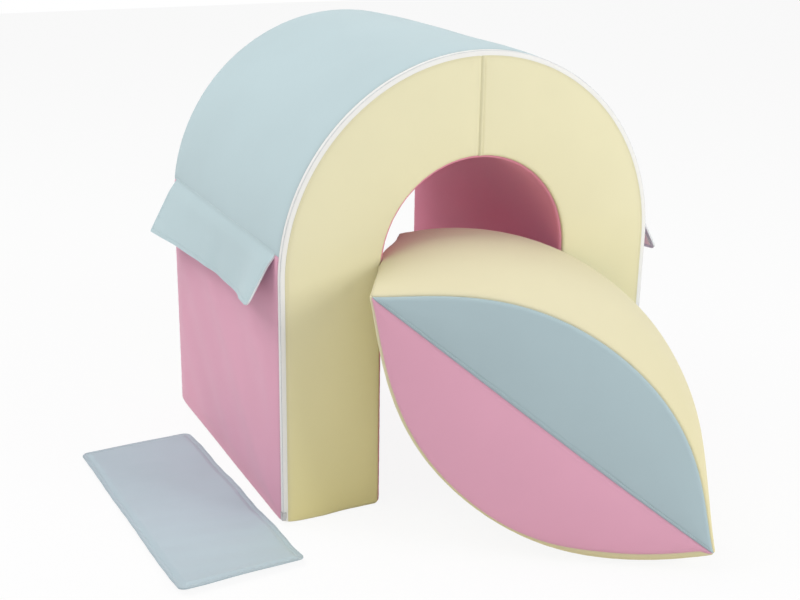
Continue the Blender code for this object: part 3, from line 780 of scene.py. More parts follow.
def round_the_arch(path, radius, spring):
    """A point on the way up the left leg, over the crown and down the right leg."""
    turn = np.clip((path - spring) / radius, 0, math.pi)
    straight = path - spring - turn * radius
    return -radius * np.cos(turn), spring + radius * np.sin(turn) - np.abs(straight)


# %% [markdown]
# ### One way to make every panel
# A panel of the arch is made in the same way wherever it lies: its points are rounded, raised
# or pulled in, kept above the floor and given a thickness. What differs is the grid, the
# borders and the look, which gives the finish.

# %% A panel of the arch
PANEL_PILLOW = 0.0022        # how far a panel swells between its seams


def make_arch_panel(name, sharp, borders, cloth, look, node, seed, pillow=PANEL_PILLOW,
                    **relief_options):
    """One panel of the arch's cover, from sharp points in the arch's own frame."""
    points, outward = soften_arch(sharp)
    height, seam = relief(points, borders, pillow, seed, **relief_options)
    placed = points + outward * height[..., None]
    placed[..., 2] = np.maximum(placed[..., 2], 0)
    material, slot = look
    return add_piece(name, shell(name, placed + ARCH_ORIGIN, outward, cloth, seam),
                     material, "arch", [node])


BLUE_LOOK = (blue_cover, "cover_blue")
PINK_LOOK = (pink_cover, "cover_pink")
SHADED_LINING_LOOK = (lining_cover, "cover_pink")
YELLOW_LOOK = (yellow_cover, "cover_yellow")
SHADED_ROCKER_LOOK = (shaded_rocker_cover, "cover_blue")
SHADED_RIM_LOOK = (shaded_rim_cover, "cover_yellow")

# %% [markdown]
# ## Roof, sides and tunnel lining
# These four panels are strips that run round the arch and are as long as it is deep. A way
# along the outline and a way along the depth make the grid. The front border is a folded hem
# over the zip tape, and the others are seams.

# %% Panels that run round the arch
OUTER_PATH = 2 * ARCH_SPRING + math.pi * ARCH_RADIUS
INNER_PATH = 2 * TUNNEL_SPRING + math.pi * TUNNEL_RADIUS
ROOF_START = ARCH_SPRING + ROOF_ANGLE * ARCH_RADIUS
SKEW = 0.012                 # how far askew the side panels were pulled, as a slope
SIDE_PILLOW = 0.0040         # below the flap, which holds the cloth flat
HELD_PILLOW = 0.0004         # all over a side panel, also under the flap
SLACK_STARTS = (0.06, 0.15)  # from the roof seam, where the cloth begins to hang loose


def round_panel(name, start, end, front, radius, spring, look, seed, askew=0, **options):
    """A strip of the arch's outer skin or of its tunnel lining."""
    path = start + stations(end - start)
    depth = front + stations(DEPTH - front)
    along, across = np.meshgrid(path, depth, indexing="ij")
    x, z = round_the_arch(along, radius, spring)
    ends = "flush" if look is BLUE_LOOK else "seam"
    slack = 0
    if askew:
        from_roof = np.abs(along - (end if start == 0 else start))
        slack = SIDE_PILLOW + folds_at(folds(end - start, DEPTH - front, askew, seed),
                                       (along - start) / (end - start),
                                       (across - front) / (DEPTH - front))
        slack = slack * smooth(from_roof, *SLACK_STARTS)
    borders = [("fold" if front else "seam", across - front, along),
               ("seam", DEPTH - across, along),
               (ends, along - start, across),
               (ends, end - along, across)]
    piece = make_arch_panel(name + "_cover", np.stack([x, across, z], -1), borders,
                            np.stack([along, across], -1), look, name, seed, slack=slack,
                            **options)
    end - start
    return piece


round_panel("arch_roof_panel", ROOF_START, OUTER_PATH - ROOF_START, SIDE_TAPE,
            ARCH_RADIUS, ARCH_SPRING, BLUE_LOOK, 11)
round_panel("arch_side_panel_left", 0, ROOF_START, SIDE_TAPE,
            ARCH_RADIUS, ARCH_SPRING, PINK_LOOK, 12, askew=-SKEW, pillow=HELD_PILLOW)
round_panel("arch_side_panel_right", OUTER_PATH - ROOF_START, OUTER_PATH, SIDE_TAPE,
            ARCH_RADIUS, ARCH_SPRING, PINK_LOOK, 13, askew=SKEW, pillow=HELD_PILLOW)
round_panel("arch_tunnel_lining", 0, INNER_PATH, 0, TUNNEL_RADIUS, TUNNEL_SPRING, SHADED_LINING_LOOK, 14)

# %% [markdown]
# ## Front and back faces
# Each face is two half arches sewn together at the crown. A half runs from the foot to the
# crown one way and from the tunnel to the outer edge the other way. On the front the outer
# border is a folded hem beside the zip, and the crown seam is lapped to one side and stitched
# again beside it, which shows as a second fine line.

# %% Half faces
MIDDLE_SPRING = (ARCH_SPRING + TUNNEL_SPRING) / 2
MIDDLE_RADIUS = (ARCH_RADIUS + TUNNEL_RADIUS) / 2
HALF_PATH = MIDDLE_SPRING + MIDDLE_RADIUS * math.pi / 2


def face_points(along, across, side, y):
    """Sharp points of a face, from the foot up to the crown and from the tunnel outwards."""
    lift = np.minimum(along / MIDDLE_SPRING, 1)
    turn = np.maximum(along - MIDDLE_SPRING, 0) / MIDDLE_RADIUS
    share = across / LEG
    radius = TUNNEL_RADIUS + share * LEG
    spring = TUNNEL_SPRING + share * (ARCH_SPRING - TUNNEL_SPRING)
    x = side * radius * np.cos(turn)
    return np.stack([x, np.full_like(x, y), lift * spring + radius * np.sin(turn)], -1)


def half_face(name, side, front, seed):
    """Half of the front or back face."""
    width = LEG - FACE_TAPE if front else LEG
    along, across = np.meshgrid(stations(HALF_PATH), stations(width), indexing="ij")
    sharp = face_points(along, across, side, 0 if front else DEPTH)
    crown = "lap" if side > 0 else "seam"
    borders = [("seam", across, along),
               ("fold" if front else "seam", width - across, along),
               ("seam", sharp[..., 2], across),
               (crown, np.abs(sharp[..., 0]), across)]
    piece = make_arch_panel(name + "_cover", sharp, borders, sharp[..., [0, 2]], YELLOW_LOOK,
                            name, seed)
    outer = TUNNEL_RADIUS + width
    height = ARCH_SPRING + outer
    area = width * MIDDLE_SPRING + math.pi / 4 * (outer ** 2 - TUNNEL_RADIUS ** 2)


half_face("arch_front_panel_left", -1, True, 21)
half_face("arch_front_panel_right", 1, True, 22)
half_face("arch_back_panel_left", -1, False, 23)
half_face("arch_back_panel_right", 1, False, 24)

# %% [markdown]
# ## Soles
# Under each leg lies a flat sole, which shows only when the arch is turned over. It has seams
# all round but doesn't swell, because the arch stands on it.


# %% Two soles
def make_sole(side, word):
    """The cloth under one leg, flat on the floor."""
    along, across = np.meshgrid(stations(DEPTH), stations(LEG), indexing="ij")
    x = side * (TUNNEL_RADIUS + across)
    borders = [("seam", across, along), ("seam", LEG - across, along),
               ("seam", along, across), ("seam", DEPTH - along, across)]
    sharp = np.stack([x, along, np.zeros_like(x)], -1)
    piece = make_arch_panel(f"arch_sole_{word}_cover", sharp, borders, sharp[..., :2], YELLOW_LOOK,
                            f"arch_sole_{word}", 25, pillow=0, uneven=0, gathers=0.0002)


make_sole(-1, "left")
make_sole(1, "right")

# %% [markdown]
# ## Foam blocks
# The foam fills the covers. Each block is a loft: the same ring of points again and again
# through the depth, drawn in a little near both faces so that the foam's edges are as soft as
# the cover's. A quad strip joins ring to ring, and the two ends are closed by joining the
# outer half of the ring to the inner half.

# %% Lofting a block
FOAM_INSET = 0.0030          # from the cover's sharp outline to the foam
FOAM_EDGE = 0.0080
END_ROWS = 5
MIDDLE_ROWS = 30


def end_depths(depth):
    """Where the rings stand, from 0 to 1 through the block, and how far each is drawn in."""
    turn = np.linspace(0, math.pi / 2, END_ROWS)
    places = FOAM_INSET + FOAM_EDGE * (1 - np.cos(turn))
    inset = FOAM_INSET + FOAM_EDGE * (1 - np.sin(turn))
    middle = np.linspace(places[-1], depth - places[-1], MIDDLE_ROWS)[1:-1]
    return (np.concatenate([places, middle, depth - places[::-1]]),
            np.concatenate([inset, np.full(MIDDLE_ROWS - 2, FOAM_INSET), inset[::-1]]))


def loft(name, rings):
    """A closed block from rings whose second half runs back beside the first."""
    rows, count = rings.shape[:2]
    index = np.arange(rows * count).reshape(rows, count)
    after = np.roll(index, -1, axis=1)
    sides = np.stack([index[:-1], after[:-1], after[1:], index[1:]], -1).reshape(-1, 4)
    half = np.arange(count // 2 - 1)
    cap = np.stack([half, count - 1 - half, count - 2 - half, half + 1], -1)
    faces = np.concatenate([sides, cap, cap[:, ::-1] + index[-1, 0]])
    mesh = bpy.data.meshes.new(name)
    mesh.from_pydata(rings.reshape(-1, 3).tolist(), [], faces.tolist())
    flat = rings.reshape(-1, 3)[:, :2]
    finish_mesh(mesh, flat, np.zeros(len(flat)))
    return mesh


# %% [markdown]
# ### The arch's foam
# A ring is the arch's outline at one depth: from foot to foot round the outside and back
# through the tunnel, with as many points on the one way as on the other.

# %% Foam of the arch
ARCH_RING_STEPS = 121


def arch_foam_rings():
    """The arch's outline at each depth, outer path first and the tunnel's path back."""
    share = np.linspace(0, 1, ARCH_RING_STEPS)
    rings = []
    for depth, inset in zip(*end_depths(DEPTH)):
        paths = []
        for radius, spring in ((ARCH_RADIUS - inset, ARCH_SPRING),
                               (TUNNEL_RADIUS + inset, TUNNEL_SPRING)):
            path = inset + share * (2 * (spring - inset) + math.pi * radius)
            paths.append(np.stack(round_the_arch(path, radius, spring), -1))
        ring = np.concatenate([paths[0], paths[1][::-1]])
        rings.append(np.insert(ring, 1, depth, axis=1))
    return np.array(rings) + ARCH_ORIGIN


arch_foam = add_piece("arch_foam", loft("arch_foam", arch_foam_rings()), foam, "arch",
                      ["arch_foam_core"])

# %% [markdown]
# ## The rocker block
# The rocker is drawn about the middle of its chord: X runs along the chord to the low tip, Y
# across the width, Z square to both. Its faces are two half lenses each, sewn along the chord,
# and its rims are strips that swell between the faces. The edge is softer than the arch's, and
# the face's seam lies right on it.

# %% The lens as the foam gives
CHORD = 2 * ROCKER_RADIUS * math.sin(TIP_ANGLE)
SAG = ROCKER_RADIUS - CHORD_DROP
BACK_REACH = 0.14            # depth at which the shape of the rim's back part begins
GIVE_FADE = (0.45, 0.95)     # shares of the width over which the give dies out
HIDDEN_DEPTHS = (0.10, 0.20)  # depths over which the high tip goes behind the tunnel's mouth
UPPER_STRAIGHT = ((0.38, 0.02), (0.46, 0.62))  # how much straighter than an arc the rims run,
LOWER_STRAIGHT = (0.39, 0.21)                  # at the high and the low tip, near and far
UPPER_SIZE = (0.961, 0.990)  # size of the upper half lens, near and far
LOWER_SIZE = 1.080
HIGH_TIP_REACH = (0.0072, 0.0165)  # near, and where the tunnel's mouth hides it
HIGH_TIP_DROP = 0.0058
print("chord", round(CHORD, 4), "and sag", round(SAG, 4))


def near_to_far(pair, back):
    """A value that slides from the block's near edge to its back part."""
    return pair[0] + (pair[1] - pair[0]) * back


def give_of_the_foam(local):
    """The lens as it really is, about the middle of the near face's chord.

    Towards the thin tips the foam gives way and the rims run straighter. The edge with the zip
    keeps its arc, because the slider runs round it.
    """
    x, y, z = np.moveaxis(local, -1, 0)
    low = np.clip(2 * x / CHORD, 0, 1) ** 2
    high = np.clip(-2 * x / CHORD, 0, 1) ** 2
    back = smooth(y, 0, BACK_REACH)
    free = 1 - smooth(y / ROCKER_WIDTH, *GIVE_FADE) * smooth(-z, 0, 0.01)
    straight = np.where(z > 0, near_to_far(UPPER_STRAIGHT[0], back) * high
                        + near_to_far(UPPER_STRAIGHT[1], back) * low,
                        LOWER_STRAIGHT[0] * high + LOWER_STRAIGHT[1] * low)
    size = np.where(z > 0, near_to_far(UPPER_SIZE, back), LOWER_SIZE) - 1
    give = 1 - free * straight * np.clip(1 - np.abs(z) / SAG, 0, 1)
    inside = smooth(y, *HIDDEN_DEPTHS)
    tip = (1 - smooth(y / ROCKER_WIDTH, *GIVE_FADE)) * high
    return np.stack([x - near_to_far(HIGH_TIP_REACH, inside) * tip, y,
                     z * give * (1 + free * size) - HIGH_TIP_DROP * tip], -1)


# %% [markdown]
# ### What the block rests on
# The block stands on the floor and leans on the left leg's rounded corner. Foam gives way
# there, so points that would lie in the leg or under the floor are moved out to its surface.

# %% Pressed on the leg and on the floor
SOFT_FLOOR = 0.0050          # how gently the near edge rolls onto the floor
FLOOR_SINK = 0.0009
LEG_SWELL = 0.0015           # how far the leg's own cover stands out
LEG_TOP = TUNNEL_SPRING + 0.05  # height up to which the leg presses on the block
DEEPEST_PRESS = 0.02


def clear_of_the_leg(placed):
    """Points pushed out of the rounded corner of the left leg, which the block leans on."""
    away_x = placed[..., 0] - (MIDDLE - TUNNEL_RADIUS - TUNNEL_EDGE)
    away_y = FRONT + TUNNEL_EDGE - placed[..., 1]
    corner = (away_x > 0) & (away_y > 0)
    length = np.maximum(np.hypot(away_x, away_y), 1e-6)
    beyond = np.where(corner, length, np.maximum(away_x, away_y)) - TUNNEL_EDGE - LEG_SWELL
    push = np.where(placed[..., 2] < LEG_TOP, np.clip(-beyond, 0, DEEPEST_PRESS), 0)
    across = np.where(corner, away_x / length, np.where(away_x > away_y, 1.0, 0.0))
    ahead = np.where(corner, away_y / length, np.where(away_x > away_y, 0.0, 1.0))
    return placed + np.stack([across * push, -ahead * push, np.zeros_like(push)], -1)


def to_rocker(local):
    """World points from points about the middle of the near face's chord.

    Where the block stands on the floor and where it leans on the arch, it is pressed flat, and
    its near edge rolls softly onto the floor.
    """
    placed = ROCKER_CENTRE - ROCKER_Z * CHORD_DROP + give_of_the_foam(local) @ ROCKER_AXES
    placed = clear_of_the_leg(placed)
    height = placed[..., 2]
    rolled = SOFT_FLOOR * np.logaddexp(0, height / SOFT_FLOOR) - FLOOR_SINK - height
    near = 1 - smooth(local[..., 1], 0.03, BACK_REACH)
    placed[..., 2] = np.maximum(height + rolled * near, 0)
    return placed


# %% [markdown]
# ### The lens's own edges
# The edges of both faces are soft, and the one with the zip is crisp. Along the lower arc the
# yellow rim comes round onto the near face. The rounding is the arch's trick once more: a point
# is clamped into a smaller lens, which has tips of its own, and pushed out from there.

# %% Edges of the lens
FACE_EDGE = 0.0090
ROCKER_MIDDLE_EDGE = 0.0050
EDGE_FADE = (0.02, 0.07)     # distances from a face over which its edge gives way to the rim's
SEAM_TIP = 0.0006            # half the width that a panel keeps at a tip
WRAP = 0.0120                # how far the lower rim comes round onto the near face


def wrap_at(angle):
    """How far the lower rim comes round onto the near face at a place along its arc."""
    share = angle / TIP_ANGLE
    return WRAP * smooth(share, 0.05, 0.60) * (1 - smooth(share, 0.93, 1.0))


def face_bulge(x, z):
    """From 0 at the rim to 1 in the middle of a face."""
    rim = np.sqrt(ROCKER_RADIUS ** 2 - np.minimum(np.abs(x), CHORD / 2) ** 2) - CHORD_DROP
    across = np.clip(np.abs(z) / np.maximum(rim, SEAM_TIP), 0, 1)
    return np.clip(1 - (2 * x / CHORD) ** 2, 0, 1) * (1 - across ** 2)


def soften_rocker(sharp):
    """Points of the sharp lens block moved onto its rounded edges, and the way outwards."""
    x, y, z = np.moveaxis(sharp, -1, 0)
    zip_side = smooth(-z, -0.02, 0.004)
    far_edge = FACE_EDGE + (ZIP_EDGE - FACE_EDGE) * zip_side
    edge = (ROCKER_MIDDLE_EDGE
            + (FACE_EDGE - ROCKER_MIDDLE_EDGE) * (1 - smooth(y, *EDGE_FADE))
            + (far_edge - ROCKER_MIDDLE_EDGE) * smooth(y, ROCKER_WIDTH - EDGE_FADE[1],
                                                       ROCKER_WIDTH - EDGE_FADE[0]))
    side = np.where(z >= 0, 1.0, -1.0)
    from_centre = side * z + CHORD_DROP
    reach = np.hypot(x, from_centre)
    pull = np.minimum(1, (ROCKER_RADIUS - edge) / reach)
    inner_x = x * pull
    inner_z = from_centre * pull - CHORD_DROP
    tip = np.sqrt((ROCKER_RADIUS - edge) ** 2 - CHORD_DROP ** 2)
    past = inner_z < 0
    inner_x = np.where(past, np.sign(x) * tip, inner_x)
    inner_z = np.where(past, 0, inner_z) * side
    inner = np.stack([inner_x, np.clip(y, edge, ROCKER_WIDTH - edge), inner_z], -1)
    outward = sharp - inner
    outward /= np.linalg.norm(outward, axis=-1, keepdims=True)
    return inner + outward * edge[..., None], outward


def rim_crown(across, angle):
    """How far the rim swells at a place across the width and round the arc."""
    share = 2 * across / ROCKER_WIDTH - 1
    return ROCKER_CROWN * (1 - share ** 2) * (1 - (angle / TIP_ANGLE) ** CROWN_FADE)


# %% [markdown]
# ### Covering the lens
# Each face is two half lenses that meet along the chord, where the upper one is lapped and
# stitched. Each rim is one strip from tip to tip. A face stands out in its middle by its bulge
# and a rim by its crown, on top of the small swelling that every panel has.

# %% Rocker faces and rims
NEAR_PILLOW = 0.0018
FAR_PILLOW = 0.0008
RIM_PILLOW = 0.0026
NEAR_BULGE = 0.0159          # how far the near face stands out in its middle
FAR_BULGE = 0.002            # the far face has the tunnel's corner beside it


def make_rocker_panel(name, sharp, crown, borders, cloth, look, nodes, pillow, seed, bulge):
    """One panel of the rocker's cover, from sharp points in the rocker's own frame."""
    points, outward = soften_rocker(sharp)
    height, seam = relief(points, borders, pillow, seed)
    height = height + bulge
    in_plane = outward * np.array([1.0, 0.0, 1.0])
    placed = points + outward * height[..., None] + in_plane * crown[..., None]
    material, slot = look
    return add_piece(name, shell(name, to_rocker(placed), outward @ ROCKER_AXES, cloth, seam),
                     material, "rocker", nodes)


def rocker_face(name, upper, near, look, seed):
    """Half of one face: from the chord seam out to the rim."""
    inset = 0 if near or upper else FACE_TAPE
    widest = ROCKER_RADIUS - inset
    limit = math.acos((CHORD_DROP + SEAM_TIP) / widest)
    angle = (stations(2 * limit * widest) / widest) - limit
    share = stations(SAG) / SAG
    angle, share = np.meshgrid(angle, share, indexing="ij")
    radius = widest - (wrap_at(angle) if near and not upper else 0)
    x = radius * np.sin(angle)
    z = np.maximum(radius * np.cos(angle) - CHORD_DROP, SEAM_TIP) * share * (1 if upper else -1)
    sharp = np.stack([x, np.full_like(x, 0 if near else ROCKER_WIDTH), z], -1)
    to_rim = radius - np.hypot(x, np.abs(z) + CHORD_DROP)
    borders = [("fold" if inset else "seam", to_rim, angle * widest),
               ("lap" if upper else "seam", np.abs(z), x)]
    bulge = face_bulge(x, z) * (NEAR_BULGE if near else FAR_BULGE)
    piece = make_rocker_panel(name + "_cover", sharp, np.zeros_like(x), borders,
                              np.stack([x, z], -1), look, [name],
                              NEAR_PILLOW if near else FAR_PILLOW, seed, bulge)


def rocker_rim(name, upper, width, seed):
    """The strip of cover along one arc, swollen between the two faces."""
    limit = math.acos((CHORD_DROP + SEAM_TIP / 2) / ROCKER_RADIUS)
    path, across = np.meshgrid(stations(2 * limit * ROCKER_RADIUS), stations(width), indexing="ij")
    angle = path / ROCKER_RADIUS - limit
    place = across
    if not upper:
        place = across - wrap_at(angle) * np.clip(1 - across / FINE_BAND, 0, 1)
    radius = ROCKER_RADIUS + np.minimum(place, 0)
    depth = np.maximum(place, 0)
    x = radius * np.sin(angle)
    z = np.maximum(radius * np.cos(angle) - CHORD_DROP, SEAM_TIP / 2) * (1 if upper else -1)
    far = "seam" if width == ROCKER_WIDTH else "fold"
    borders = [("seam", across, path), (far, width - across, path),
               ("seam", path, across), ("seam", 2 * limit * ROCKER_RADIUS - path, across)]
    bulge = np.where(place < 0, face_bulge(x, z) * NEAR_BULGE, 0)
    piece = make_rocker_panel(name + "_cover", np.stack([x, depth, z], -1),
                              rim_crown(depth, angle), borders, np.stack([path, across], -1),
                              SHADED_RIM_LOOK, [name], RIM_PILLOW, seed, bulge)


rocker_face("rocker_near_face_upper", True, True, SHADED_ROCKER_LOOK, 31)
rocker_face("rocker_near_face_lower", False, True, PINK_LOOK, 32)
rocker_face("rocker_far_face_upper", True, False, SHADED_ROCKER_LOOK, 33)
rocker_face("rocker_far_face_lower", False, False, PINK_LOOK, 34)
rocker_rim("rocker_upper_rim", True, ROCKER_WIDTH, 35)
rocker_rim("rocker_lower_rim", False, ROCKER_WIDTH - SIDE_TAPE, 36)

# %% [markdown]
# ### The rocker's foam
# The same loft fills the rocker. A flat end would leave a hollow behind the near face's bulge,
# so a few smaller rings carry the foam out there first.

# %% Foam of the rocker
LENS_STEPS = 97
BULGE_RINGS = (0.05, 0.3, 0.5, 0.68, 0.84)  # shares of the lens, from the chord out to the rim


def rocker_foam_rings():
    """The lens at each depth: the upper arc, then the lower arc back.

    The first rings shrink towards the chord and stand out with the near face's bulge.
    """
    rings = []
    for depth, inset in zip(*end_depths(ROCKER_WIDTH)):
        radius = ROCKER_RADIUS - inset
        angle = np.linspace(-1, 1, LENS_STEPS) * math.acos((CHORD_DROP + SEAM_TIP) / radius)
        reach = radius + rim_crown(depth, angle * 0.98)
        x = reach * np.sin(angle)
        z = np.maximum(reach * np.cos(angle) - CHORD_DROP, SEAM_TIP)
        ring = np.concatenate([np.stack([x, z], -1), np.stack([x, -z], -1)[::-1]])
        rings.append(np.insert(ring, 1, depth, axis=1))
    bulged = []
    for share in BULGE_RINGS:
        ring = rings[0] * np.array([1.0, 1.0, share])
        ring[:, 1] -= NEAR_BULGE * face_bulge(ring[:, 0], ring[:, 2])
        bulged.append(ring)
    return to_rocker(np.array(bulged + rings))


rocker_foam = add_piece("rocker_foam", loft("rocker_foam", rocker_foam_rings()), foam, "rocker",
                        ["rocker_foam_core"])

# %% [markdown]
# ## Zip tapes
# A zip runs round the arch's front edge and along the rocker's far lower edge. On each side of
# the edge lies a woven tape, narrow on the face and wider on the outer side, and it goes in
# under the folded hem of the panel.

# %% Tapes
TAPE = 0.0007                # modelled thickness of a tape
TAPE_START = 0.0008          # from the block's edge, where the coil lies, to the tape
TAPE_COLUMNS = 12
TUCK = 0.0055                # how far a tape goes in under the hem
COIL = 0.0018                # diameter of the coil
TAPE_LEVEL = -0.0002
TUCKED_LEVEL = -0.0016


def tape_height(from_edge, hem):
    """A tape lies flush up to the hem and dives under it."""
    return TAPE_LEVEL + (TUCKED_LEVEL - TAPE_LEVEL) * smooth(from_edge, hem - 0.0006, hem + 0.0012)


def arch_tape(name, on_face):
    """The tape on the front face or on the outer side, from foot to foot."""
    hem = FACE_TAPE if on_face else SIDE_TAPE
    path, from_edge = np.meshgrid(stations(OUTER_PATH),
                                  np.linspace(TAPE_START, hem + TUCK, TAPE_COLUMNS), indexing="ij")
    radius = ARCH_RADIUS - from_edge if on_face else ARCH_RADIUS
    turn = np.clip((path - ARCH_SPRING) / ARCH_RADIUS, 0, math.pi)
    x, z = round_the_arch(path, ARCH_RADIUS, ARCH_SPRING)
    if on_face:
        x = x + from_edge * np.cos(turn)
        z = z - from_edge * np.sin(turn)
    y = np.zeros_like(x) if on_face else from_edge
    points, outward = soften_arch(np.stack([x, y, z], -1))
    placed = points + outward * tape_height(from_edge, hem)[..., None]
    mesh = shell(name, placed + ARCH_ORIGIN, outward, np.stack([path, from_edge], -1),
                 np.zeros_like(x), TAPE)
    piece = add_piece(name, mesh, zip_tape, "arch",
                      ["arch_zip_tape_front" if on_face else "arch_zip_tape_side"])


def rocker_tape(name, on_face, node):
    """The tape on the far face or on the lower rim."""
    hem = FACE_TAPE if on_face else SIDE_TAPE
    limit = math.acos((CHORD_DROP + SEAM_TIP) / (ROCKER_RADIUS - FACE_TAPE - TUCK))
    path, from_edge = np.meshgrid(stations(2 * limit * ROCKER_RADIUS),
                                  np.linspace(TAPE_START, hem + TUCK, TAPE_COLUMNS), indexing="ij")
    angle = path / ROCKER_RADIUS - limit
    radius = ROCKER_RADIUS - (from_edge if on_face else 0)
    x = radius * np.sin(angle)
    z = CHORD_DROP - radius * np.cos(angle)
    y = np.full_like(x, ROCKER_WIDTH) if on_face else ROCKER_WIDTH - from_edge
    points, outward = soften_rocker(np.stack([x, y, z], -1))
    crown = np.zeros_like(x) if on_face else rim_crown(y, angle)
    placed = (points + outward * tape_height(from_edge, hem)[..., None]
              + outward * np.array([1.0, 0.0, 1.0]) * crown[..., None])
    mesh = shell(name, to_rocker(placed), outward @ ROCKER_AXES, np.stack([path, from_edge], -1),
                 np.zeros_like(x), TAPE)
    piece = add_piece(name, mesh, zip_tape, "rocker", [node])


arch_tape("arch_front_tape", True)
arch_tape("arch_side_tape", False)
rocker_tape("rocker_face_tape", True, "rocker_zip_tape_face")
rocker_tape("rocker_rim_tape", False, "rocker_zip_tape_rim")

# %% [markdown]
# ## Rows that follow a path
# Stitches and the links of a zip coil repeat along a path, so Geometry Nodes lay them out. The
# tree takes a path of edges, spaces points along it, and puts a stretched bead on each, turned
# along the path. Its named inputs are the spacing, the bead's size, its slant and its finish.
# A real coil is one bent wire; slanted beads, one for each turn, show the same pattern with
# a tenth of the faces.

# %% The tree for stitches and coil links
ROW_SEED = 7


def build_row_tree():
    """A Geometry Nodes group that lays beads along a path."""
    group = bpy.data.node_groups.new("row_of_beads", "GeometryNodeTree")
    group.is_modifier = True
    for name, kind in (("Path", "Geometry"), ("Spacing", "Float"), ("Size", "Vector"),
                       ("Slant", "Float"), ("Finish", "Material")):
        group.interface.new_socket(name=name, in_out="INPUT", socket_type="NodeSocket" + kind)
    group.interface.new_socket(name="Row", in_out="OUTPUT", socket_type="NodeSocketGeometry")
    tree = Socket(group)
    entry = group.nodes.new("NodeGroupInput")
    inputs = {socket.name: Socket(group, socket) for socket in entry.outputs if socket.name}
    curve = tree.node("GeometryNodeMeshToCurve", sockets={"Mesh": inputs["Path"]})
    spaced = tree.node("GeometryNodeResampleCurve", {"mode": "LENGTH"},
                       {"Curve": curve, "Length": inputs["Spacing"]})
    bead = tree.node("GeometryNodeMeshUVSphere", sockets={"Segments": 6, "Rings": 4, "Radius": 0.5})
    slanted = tree.node("ShaderNodeCombineXYZ", sockets={"Y": inputs["Slant"]})
    formed = tree.node("GeometryNodeTransform", sockets={"Geometry": bead, "Scale": inputs["Size"],
                                                         "Rotation": slanted})
    tangent = tree.node("GeometryNodeInputTangent")
    along = tree.node("FunctionNodeAlignRotationToVector", {"axis": "Z"}, {"Vector": tangent})
    across = tree.node("GeometryNodeInputNamedAttribute", {"data_type": "FLOAT_VECTOR"},
                       {"Name": "across"})
    turned = tree.node("FunctionNodeAlignRotationToVector", {"axis": "X", "pivot_axis": "Z"},
                       {"Rotation": along, "Vector": across})
    uneven = tree.node("FunctionNodeRandomValue", {"data_type": "FLOAT"},
                       {2: 0.92, 3: 1.08, "Seed": ROW_SEED}, 1)
    placed = tree.node("GeometryNodeInstanceOnPoints",
                       sockets={"Points": spaced, "Instance": formed, "Rotation": turned,
                                "Scale": uneven})
    solid = tree.node("GeometryNodeRealizeInstances", sockets={0: placed})
    painted = tree.node("GeometryNodeSetMaterial", sockets={0: solid, "Material": inputs["Finish"]})
    tree.node("NodeGroupOutput", sockets={0: painted})
    return group


row_tree = build_row_tree()
row_inputs = {item.name: item.identifier for item in row_tree.interface.items_tree
              if item.item_type == "SOCKET" and item.in_out == "INPUT"}
print("row inputs", sorted(row_inputs))

# %% [markdown]
# ### Laying one row
# A row's path is a mesh of bare edges that carries the tree as a modifier. The inputs are set
# before the path is first evaluated. The result is copied to a plain mesh, so that no modifier
# is left on the row when it rides on its body.


# %% A row of beads as a plain mesh
def lay_row(name, path, across, body, finish, spacing, size, slant=0.0, nodes=()):
    """Beads along one path or several, as one plain mesh."""
    paths = path if isinstance(path, list) else [path]
    guide = bpy.data.meshes.new(name + "_path")
    edges, start = [], 0
    for line in paths:
        edges += [(start + step, start + step + 1) for step in range(len(line) - 1)]
        start += len(line)
    guide.from_pydata(np.concatenate(paths).tolist(), edges, [])
    if across is not None:
        attribute = guide.attributes.new("across", "FLOAT_VECTOR", "POINT")
        attribute.data.foreach_set("vector", np.asarray(across, dtype=np.float32).ravel())
    carrier = bpy.data.objects.new(name + "_path", guide)
    bpy.context.scene.collection.objects.link(carrier)
    modifier = carrier.modifiers.new("row", "NODES")
    modifier.node_group = row_tree
    for key, value in (("Spacing", spacing), ("Size", size), ("Slant", slant), ("Finish", finish)):
        modifier[row_inputs[key]] = value
    graph = bpy.context.evaluated_depsgraph_get()
    mesh = bpy.data.meshes.new_from_object(carrier.evaluated_get(graph))
    mesh.name = name
    bpy.data.objects.remove(carrier)
    mesh.shade_smooth()
    return add_piece(name, mesh, finish, body, nodes)


# %% [markdown]
# ## Zip coils
# The coil lies on the edge, half sunk between the two tapes. Its path needs the direction
# across the zip at each point, which the tree reads as an attribute.

# %% Coils
LINK_PITCH = 0.00150
LINK_SIZE = (0.0021, 0.0009, 0.0010)
LINK_SLANT = math.radians(24)
COIL_FOOT = 0.0095           # the coil starts this far above the floor


def arch_edge_line(sunk):
    """The line of the arch's front outer edge, and the way outwards from its arc."""
    path = COIL_FOOT + stations(OUTER_PATH - 2 * COIL_FOOT)
    turn = np.clip((path - ARCH_SPRING) / ARCH_RADIUS, 0, math.pi)
    x, z = round_the_arch(path, ARCH_RADIUS - sunk, ARCH_SPRING)
    middle = np.stack([x, np.full_like(x, sunk), z], -1)
    radial = np.stack([-np.cos(turn), np.zeros_like(x), np.sin(turn)], -1)
    return middle + ARCH_ORIGIN, radial


line, radial = arch_edge_line(COIL / 2)
across = radial + np.array([0.0, 1.0, 0.0])
lay_row("arch_coil", line, across, "arch", coil_nylon, LINK_PITCH, LINK_SIZE,
        LINK_SLANT, ["arch_zip_coil"])


def rocker_edge_line(sunk):
    """The line of the rocker's far lower edge, and the way outwards from its arc."""
    limit = math.acos((CHORD_DROP + 0.004) / ROCKER_RADIUS)
    angle = stations(2 * limit * ROCKER_RADIUS) / ROCKER_RADIUS - limit
    radius = ROCKER_RADIUS - sunk
    middle = np.stack([radius * np.sin(angle), np.full_like(angle, ROCKER_WIDTH - sunk),
                       CHORD_DROP - radius * np.cos(angle)], -1)
    outward = np.stack([np.sin(angle), np.zeros_like(angle), -np.cos(angle)], -1)
    return middle, outward


